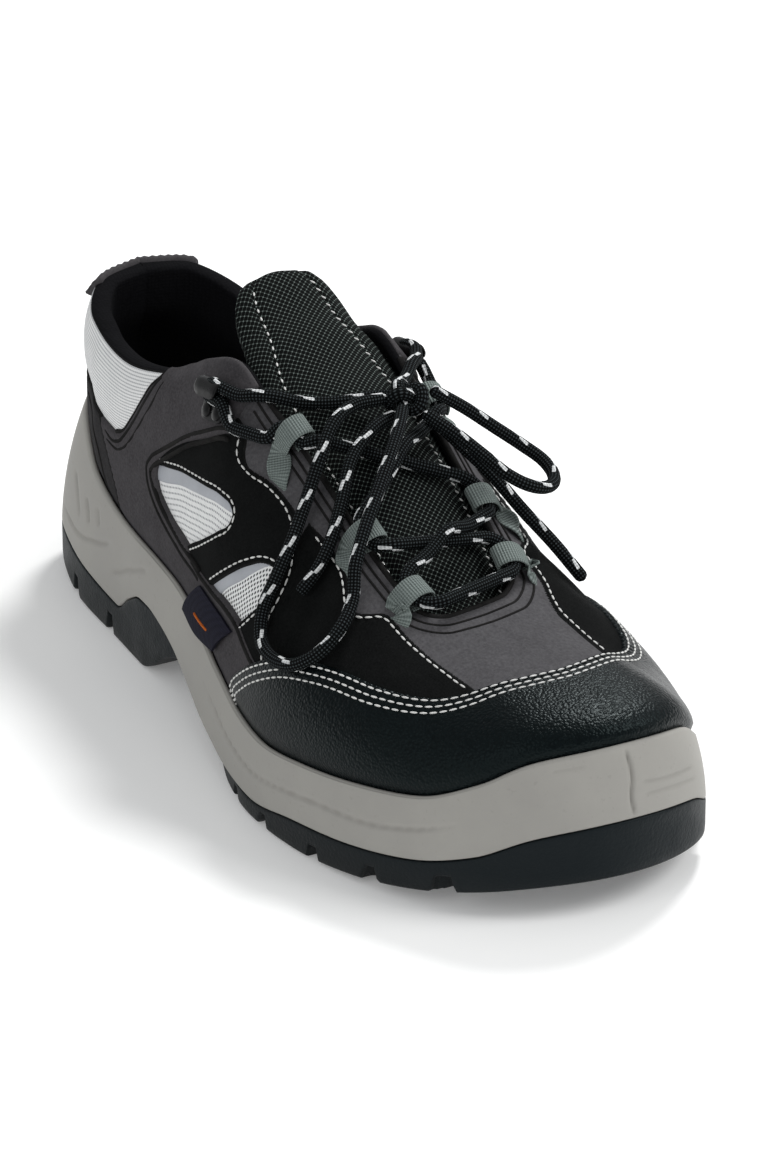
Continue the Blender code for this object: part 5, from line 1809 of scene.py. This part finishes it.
def add_tongue():
    face, shares, places = tongue_face()
    from_top = (places - places[0])[:, None]
    edge = np.sqrt(1 - shares**2)[None, :]
    end = np.sqrt(1 - (1 - np.clip(from_top / TONGUE_END, 0, 1)) ** 2)
    full = 0.3 + 0.7 * np.minimum(edge * 1.6, 1) * (0.25 + 0.75 * end)
    from_seam = (np.abs(shares) - TONGUE_SEAM) / TONGUE_SEAM_BREADTH
    channel = np.exp(-(from_seam**2))[None, :] * TONGUE_SEAM_DEPTH
    thickness = TONGUE_THICKNESS * full
    outer = face.copy()
    outer[:, :, 2] -= (TONGUE_THICKNESS - thickness) * 0.5 + channel
    inner = face.copy()
    inner[:, :, 2] -= (TONGUE_THICKNESS - thickness) * 0.5 + thickness
    points, faces = slab(outer, inner)
    middle = route_lengths(face[:, TONGUE_COLUMNS // 2])
    across = np.array([route_lengths(row) for row in face])
    across -= across[:, TONGUE_COLUMNS // 2][:, None]
    uv = np.stack([across, np.broadcast_to(middle[:, None], across.shape)], axis=-1).reshape(-1, 2)
    piece = add_piece("tongue_pad", points, [f[::-1] for f in faces], [tongue_mesh()], np.vstack([uv, uv]))
    rows = []
    for side in (-1, 1):
        column = int(np.argmin(np.abs(shares - side * TONGUE_SEAM)))
        line = outer[3:-8, column]
        rows.append((line + np.array([0, 0, 0.25 * MM]), np.tile([0.0, 0.25 * side, 0.97], (len(line), 1))))
    return piece, rows


tongue, tongue_rows = add_tongue()
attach(tongue, "root")
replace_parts(tongue, "tongue")
TONGUE_TREE = tree_of(tongue)
add_stitches("tongue_stitches", tongue_rows, STITCH_SIZES, WHITE_THREAD)

# Webbing loops
# Grey polyester webbing, three on each side of the throat. Each comes out from under the black
# panel's scallop, folds round the lace and goes back under itself.

LOOP_STATIONS = (242, 213, 173)
TAPE_WIDTH = 7.6 * MM
TAPE_THICKNESS = 0.9 * MM
TAPE_STEPS = 120

# How far from the edge each loop's tape dives under the black panel (mm)
TAPE_DIVES = {"lateral": (6.5, 9.5, 12.5), "medial": (6.5, 13.0, 12.5)}

# The tape's run: from the dive and from the edge, reach to the throat and lift off the leather (mm)
TAPE_TAIL = ((-5.0, -0.3), (-2.2, 0.3), (0.6, 1.35))
TAPE_FOLD = (
    (-4.6, 2.3), (-3.3, 3.9), (-1.2, 5.7), (1.3, 6.7), (3.8, 6.4), (5.7, 5.1), (6.3, 3.7), (5.6, 2.3),
    (3.8, 1.3), (1.2, 1.0), (-1.0, 1.1),
)


def edge_frame(station, side, share):
    """Point on the last with its directions along the throat, off the face and to the throat."""
    angle = on_side(station_angle(station * MM), side)
    point, around, _, off = skin_frame(np.array([angle]), np.array([share]))
    point, off, along = point[0], off[0], -side * around[0]
    along = along - off * (along @ off)
    along /= np.linalg.norm(along)
    return point, along, off, np.cross(along, off) * side


def webbing():
    """Woven webbing: plump ribs across a flat tape, with a painted highlight on their crowns and painted
    shade between them.
    """
    return add_material("grey_polyester_webbing", {"Roughness": 0.85, "Specular IOR Level": 0.15}, (
        *UV_NODES,
        ("across", "Math", {"operation": "MULTIPLY"}, {0: ("split", 1), 1: 2 * math.pi / (0.8 * MM)}),
        ("ribbing", "Math", {"operation": "SINE"}, {0: "across"}),
        ("along", "Math", {"operation": "MULTIPLY"}, {0: ("split", 0), 1: 2 * math.pi / (0.9 * MM)}),
        ("yarns", "Math", {"operation": "SINE"}, {0: "along"}),
        ("weave", "Math", {"operation": "MULTIPLY_ADD"}, {0: "yarns", 1: 0.45, 2: "ribbing"}),
        # Painted highlight and shade: the ribs' crowns are paler and the hollows between them darker.
        ("light", "MapRange", {}, {"Value": "weave", "From Min": -1.3, "From Max": 1.3}),
        ("Base Color", "Mix", BLEND, {0: "light", 6: "#57605d", 7: "#818a87"}),
        ("Normal", "Bump", {}, {"Strength": 0.7, "Distance": 0.25 * MM, "Height": "weave"}),
    ))


WEBBING = webbing()


def tape_run(station, side, dive):
    """Middle line of a loop's tape, from under the black panel round its fold."""
    point, along, off, inward = edge_frame(station, side, 1.0)
    angle = on_side(station_angle(station * MM), side)
    face, _, _, normal = skin_frame(np.full(TAPE_STEPS, angle), np.linspace(1, 0.5, TAPE_STEPS))
    lengths = route_lengths(face)
    run = []
    for reach, lift in np.array(TAPE_TAIL) * MM:
        at = int(np.argmin(np.abs(lengths - dive * MM + reach)))
        run.append(face[at] + normal[at] * lift)
    for reach, lift in np.array(TAPE_FOLD) * MM:
        run.append(point + inward * reach + off * lift)
    return smooth_route(run, 0.8 * MM), along


def add_webbing_loop(name, station, side, dive):
    run, along = tape_run(station, side, dive)
    forward = np.gradient(run, axis=0)
    forward /= np.linalg.norm(forward, axis=1)[:, None]
    across = along - forward * (forward @ along)[:, None]
    across /= np.linalg.norm(across, axis=1)[:, None]
    lift = np.cross(forward, across)
    widths = np.array([-1, -0.96, -0.85, -0.5, 0, 0.5, 0.85, 0.96, 1]) * TAPE_WIDTH / 2
    heights = np.array([0.35, 0.75, 1, 0.92, 0.9, 0.92, 1, 0.75, 0.35]) * TAPE_THICKNESS / 2
    outer = run[:, None] + across[:, None] * widths[None, :, None] + lift[:, None] * heights[None, :, None]
    inner = run[:, None] + across[:, None] * widths[None, :, None] - lift[:, None] * heights[None, :, None]
    points, faces = slab(outer, inner)
    lengths = route_lengths(run)
    uv = np.stack(np.broadcast_arrays(widths[None, :], lengths[:, None]), axis=-1).reshape(-1, 2)
    piece = add_piece(name, points, [f[::-1] for f in faces], [WEBBING], np.vstack([uv, uv]))
    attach(piece, "root")
    return piece


for side_name, side_sign in SIDES:
    for loop_number, dive in enumerate(TAPE_DIVES[side_name], 1):
        loop_station = LOOP_STATIONS[loop_number - 1]
        loop = add_webbing_loop(f"webbing_loop_{side_name}_{loop_number}", loop_station, side_sign, dive)
        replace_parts(loop, f"lace_loop_{side_name}_{loop_number}")

# Lace hooks
# A pressed steel strip, lacquered black, one on each side below the collar. It lies on the
# quarter with two rivets and curls back over the lace.

HOOK_STATION = 134
HOOK_SHARE = 0.845
HOOK_WIDTH = 13 * MM
HOOK_STRIP = 1.0 * MM
RIVET_RADIUS = 2.4 * MM
RIVET_SIDES = 20
HOOK_SEAT = 1.9 * MM
HOOK_STEPS = 40

# Reach to the throat and height of the strip's bends (mm)
HOOK_BENDS = (
    (-6.0, 0.5), (-2.0, 0.5), (2.5, 0.5), (5.2, 1.2), (6.4, 3.2), (5.6, 5.4), (3.0, 6.2), (0.5, 5.8),
)

# Share of the radius and height (mm) of the rings of a rivet's head
RIVET_DOME = ((1.0, 0.0), (1.0, 0.45), (0.93, 0.7), (0.8, 0.85), (0.55, 1.1), (0.3, 1.22))


def lacquered_steel():
    """Lacquered steel: a smooth black stove enamel with a wet gloss, rubbed through in specks."""
    return add_material("black_lacquered_steel", {"Specular IOR Level": 0.16}, (
        SPOT,
        ("rubs", "TexNoise", {}, {"Vector": "spot", "Scale": 380.0, "Detail": 5.0, "Roughness": 0.7}),
        ("bare", "MapRange", {}, {"Value": "rubs", "From Min": 0.64, "From Max": 0.72, "To Max": 0.5}),
        ("Base Color", "Mix", BLEND, {0: "bare", 6: "#070708", 7: "#2a2a2c"}),
        ("Roughness", "MapRange", {}, {
            "Value": "rubs", "From Min": 0.3, "From Max": 0.7, "To Min": 0.22, "To Max": 0.42}),
    ))


HOOK_STEEL = lacquered_steel()


def add_hook(name, side):
    point, along, off, inward = edge_frame(HOOK_STATION, side, HOOK_SHARE)
    point = point + off * HOOK_SEAT
    bends = np.array(HOOK_BENDS) * MM
    knots = route_lengths(bends)
    at = np.linspace(0, knots[-1], HOOK_STEPS)
    line = along_table(knots, bends, smooth_slopes(knots, bends), at)
    run = np.gradient(line, axis=0)
    run /= np.linalg.norm(run, axis=1)[:, None]
    thick = np.column_stack([-run[:, 1], run[:, 0]]) * HOOK_STRIP
    ends = np.minimum(at, at[::-1])
    taper = 0.62 + 0.38 * np.sqrt(1 - (1 - np.clip(ends / (3 * MM), 0, 1)) ** 2)
    widths = np.array([-1, -0.97, -0.88, -0.5, 0, 0.5, 0.88, 0.97, 1])
    bevel = np.array([0.3, 0.12, 0, 0, 0, 0, 0, 0.12, 0.3])
    grids = []
    for low in (True, False):
        offset = bevel[None, :, None] * thick[:, None]
        spots = (line[:, None] + offset) if low else (line + thick)[:, None] - offset
        spread = along * (widths[None, :, None] * taper[:, None, None] * HOOK_WIDTH / 2)
        grids.append(point + spots[..., :1] * inward + spots[..., 1:] * off + spread)
    points, faces = slab(*grids)
    if side < 0:
        faces = [face[::-1] for face in faces]
    total = len(points)
    turn = np.linspace(0, 2 * math.pi, RIVET_SIDES, endpoint=False)
    for place in (-0.24, 0.24):
        middle = point + along * place * HOOK_WIDTH - inward * 3 * MM + off * 1.3 * MM
        rings = [middle + off * rise * MM + size * RIVET_RADIUS * (
            np.cos(turn)[:, None] * along + np.sin(turn)[:, None] * np.cross(off, along))
            for size, rise in RIVET_DOME]
        points = np.vstack([points] + rings + [middle + off * 1.26 * MM])
        starts = [total + i * RIVET_SIDES for i in range(len(RIVET_DOME) + 1)]
        for low, high in zip(starts[:-2], starts[1:-1]):
            faces += ring_faces(low, high, RIVET_SIDES).tolist()
        top, tip = starts[-2:]
        faces += [(top + i, top + (i + 1) % RIVET_SIDES, tip) for i in range(RIVET_SIDES)]
        faces.append(tuple(range(total + RIVET_SIDES - 1, total - 1, -1)))
        total = len(points)
    piece = add_piece(name, points, faces, [HOOK_STEEL])
    piece.data.set_sharp_from_angle(angle=SHARP_ANGLE)
    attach(piece, "root")
    return piece


for side_name, side_sign in SIDES:
    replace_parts(add_hook(f"pressed_hook_{side_name}", side_sign), f"lace_hook_{side_name}")

# Laced run and knot
# The same cord goes across under the front loops, crosses over the tongue from loop to loop, runs
# up each side to the hook, turns in it and comes over the tongue to the knot.

RUN = ((163.5, 0.912, 3.3), (160.5, 0.893, 3.5), (154.3, 0.855, 3.8), (148.0, 0.82, 4.3))
TIE_LATERAL = (
    (139.6, -29.6, 103.9), (142.4, -27.9, 104.8), (146.0, -23.9, 105.0), (151.0, -16.5, 103.4),
    (156.5, -6.5, 103.4), (161.0, 2.8, 104.8), (167, 8.0, 106.5),
)
TIE_MEDIAL = (
    (138.8, 29.0, 103.6), (141.1, 27.7, 104.6), (145.0, 23.9, 104.8), (150.0, 19.5, 104.0),
    (155.0, 15.0, 104.2), (158.8, 12.3, 105.0), (167, 9.5, 106.5),
)
KNOT_MIDDLE = np.array((168, 9.0, 106.2)) * MM
KNOT_REACH = np.array((5.8, 4.9, 2.5)) * MM
LACE_CLEARANCE = 0.7 * MM
CROSSING_LIFT = 3.6 * MM
LOOK_DOWN_FROM = 60 * MM

# The lace's way through a loop and round a hook: along the throat, reach to it, lift (mm)
THROUGH_LOOP = ((7.6, 6.4, 4.6), (5.2, 2.4, 4.2), (0.0, 0.9, 4.0), (-5.2, 2.4, 4.2), (-7.6, 6.4, 4.6))
LAST_LOOP = ((7.6, 6.4, 4.6), (5.2, 2.4, 4.2), (0.0, 0.9, 4.0), (-4.4, 0.2, 3.8))
IN_HOOK = (
    (6.5, 0.6, 4.9), (1.5, 0.9, 5.1), (-2.2, 1.8, 5.2), (-3.2, 3.0, 5.3), (-1.6, 4.5, 5.4),
    (5.0, 4.9, 5.5),
)


def way_round(station, side, share, spots):
    point, along, off, inward = edge_frame(station, side, share)
    return [point + along * a * MM + inward * i * MM + off * o * MM for a, i, o in spots]


def over_tongue(start, end, hump):
    """Points of a strand between two loops, resting on what lies under it."""
    route = []
    for share in np.linspace(0.12, 0.88, 8):
        spot = start * (1 - share) + end * share
        for tree in (SHELL_TREE, TONGUE_TREE):
            above = Vector(to_frame(spot)) + Vector((0, 0, LOOK_DOWN_FROM))
            hit = tree.ray_cast(above, Vector((0, 0, -1)))[0]
            if hit is not None:
                spot[2] = max(spot[2], hit.z + LACE_RADIUS + LACE_CLEARANCE)
        spot[2] += hump * math.exp(-(((share - 0.5) / 0.2) ** 2))
        route.append(spot)
    return route


def laced_side(first):
    """Half of the lacing, from the front bar to the knot: it changes sides at each crossing."""
    run = []
    side = first
    for number, station in enumerate(LOOP_STATIONS[:2]):
        run += way_round(station, side, 1.0, THROUGH_LOOP)
        spots = THROUGH_LOOP if number == 0 else LAST_LOOP
        target = way_round(LOOP_STATIONS[number + 1], -side, 1.0, spots)[0]
        run += over_tongue(run[-1], target, CROSSING_LIFT if side < 0 else 0.0)
        side = -side
    run += way_round(LOOP_STATIONS[2], side, 1.0, LAST_LOOP)
    rows = np.array(RUN)
    face, _, _, normal = skin_frame(on_side(station_angle(rows[:, 0] * MM), side), rows[:, 1])
    run += list(face + normal * rows[:, 2:] * MM)
    run += way_round(HOOK_STATION, side, HOOK_SHARE, IN_HOOK)
    return run + list(np.array(TIE_LATERAL if side < 0 else TIE_MEDIAL) * MM)


outer_half, inner_half = laced_side(-1), laced_side(1)
bar = over_tongue(outer_half[0], inner_half[0], 0.0)
laced_path = smooth_route(outer_half[::-1] + bar + inner_half, LACE_SPACING)
laced_run = add_lace("laced_run", laced_path)
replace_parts(laced_run, "lace_bar_front", "lace_cross_lower", "lace_cross_middle", "lace_run_lateral",
            "lace_run_medial", "lace_tie_lateral", "lace_tie_medial")

knot_turn = np.linspace(0, 2 * math.pi, 90)
knot_path = KNOT_MIDDLE + KNOT_REACH * np.column_stack([
    (np.sin(knot_turn) + 2 * np.sin(2 * knot_turn)) / 3,
    (np.cos(knot_turn) - 2 * np.cos(2 * knot_turn)) / 3,
    -np.sin(3 * knot_turn),
])
knot = add_lace("tied_knot", knot_path)
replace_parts(knot, "lace_knot")

# Floor and light
# A plain white sheet under the shoe, a large soft light over the toe's inner side, one above the
# heel's inner side that glints on the toe cap, and a weaker one over the outer side.

floor_mesh = bpy.data.meshes.new("floor")
floor_mesh.from_pydata([(-6, -6, 0), (6, -6, 0), (6, 6, 0), (-6, 6, 0)], [], [(0, 1, 2, 3)])
floor = bpy.data.objects.new("floor", floor_mesh)
bpy.context.scene.collection.objects.link(floor)
floor_mesh.materials.append(add_material("pale_floor", {
    "Roughness": 0.85, "Base Color": linear_colour("#f4f4f3"), "Emission Strength": 0.14,
    "Emission Color": linear_colour("#ffffff")}))

world = bpy.data.worlds.new("studio")
world.use_nodes = True
world.node_tree.nodes["Background"].inputs["Color"].default_value = linear_colour("#f4f6f8")
world.node_tree.nodes["Background"].inputs["Strength"].default_value = 0.54
bpy.context.scene.world = world
bpy.context.scene.view_settings.view_transform = "Standard"


def add_light(name, place, size, power):
    data = bpy.data.lights.new(name, "AREA")
    data.shape = "DISK"
    data.size = size
    data.energy = power
    light = bpy.data.objects.new(name, data)
    light.location = place
    light.rotation_mode = "QUATERNION"
    light.rotation_quaternion = (Vector((0, 0, 0.05)) - Vector(place)).to_track_quat("-Z", "Y")
    bpy.context.scene.collection.objects.link(light)


add_light("key_light", (0.9, 1.1, 1.3), 0.9, 16)
add_light("top_light", (-0.54, 0.77, 1.34), 0.36, 15)
add_light("fill_light", (0.6, -1.5, 0.9), 1.4, 5.5)
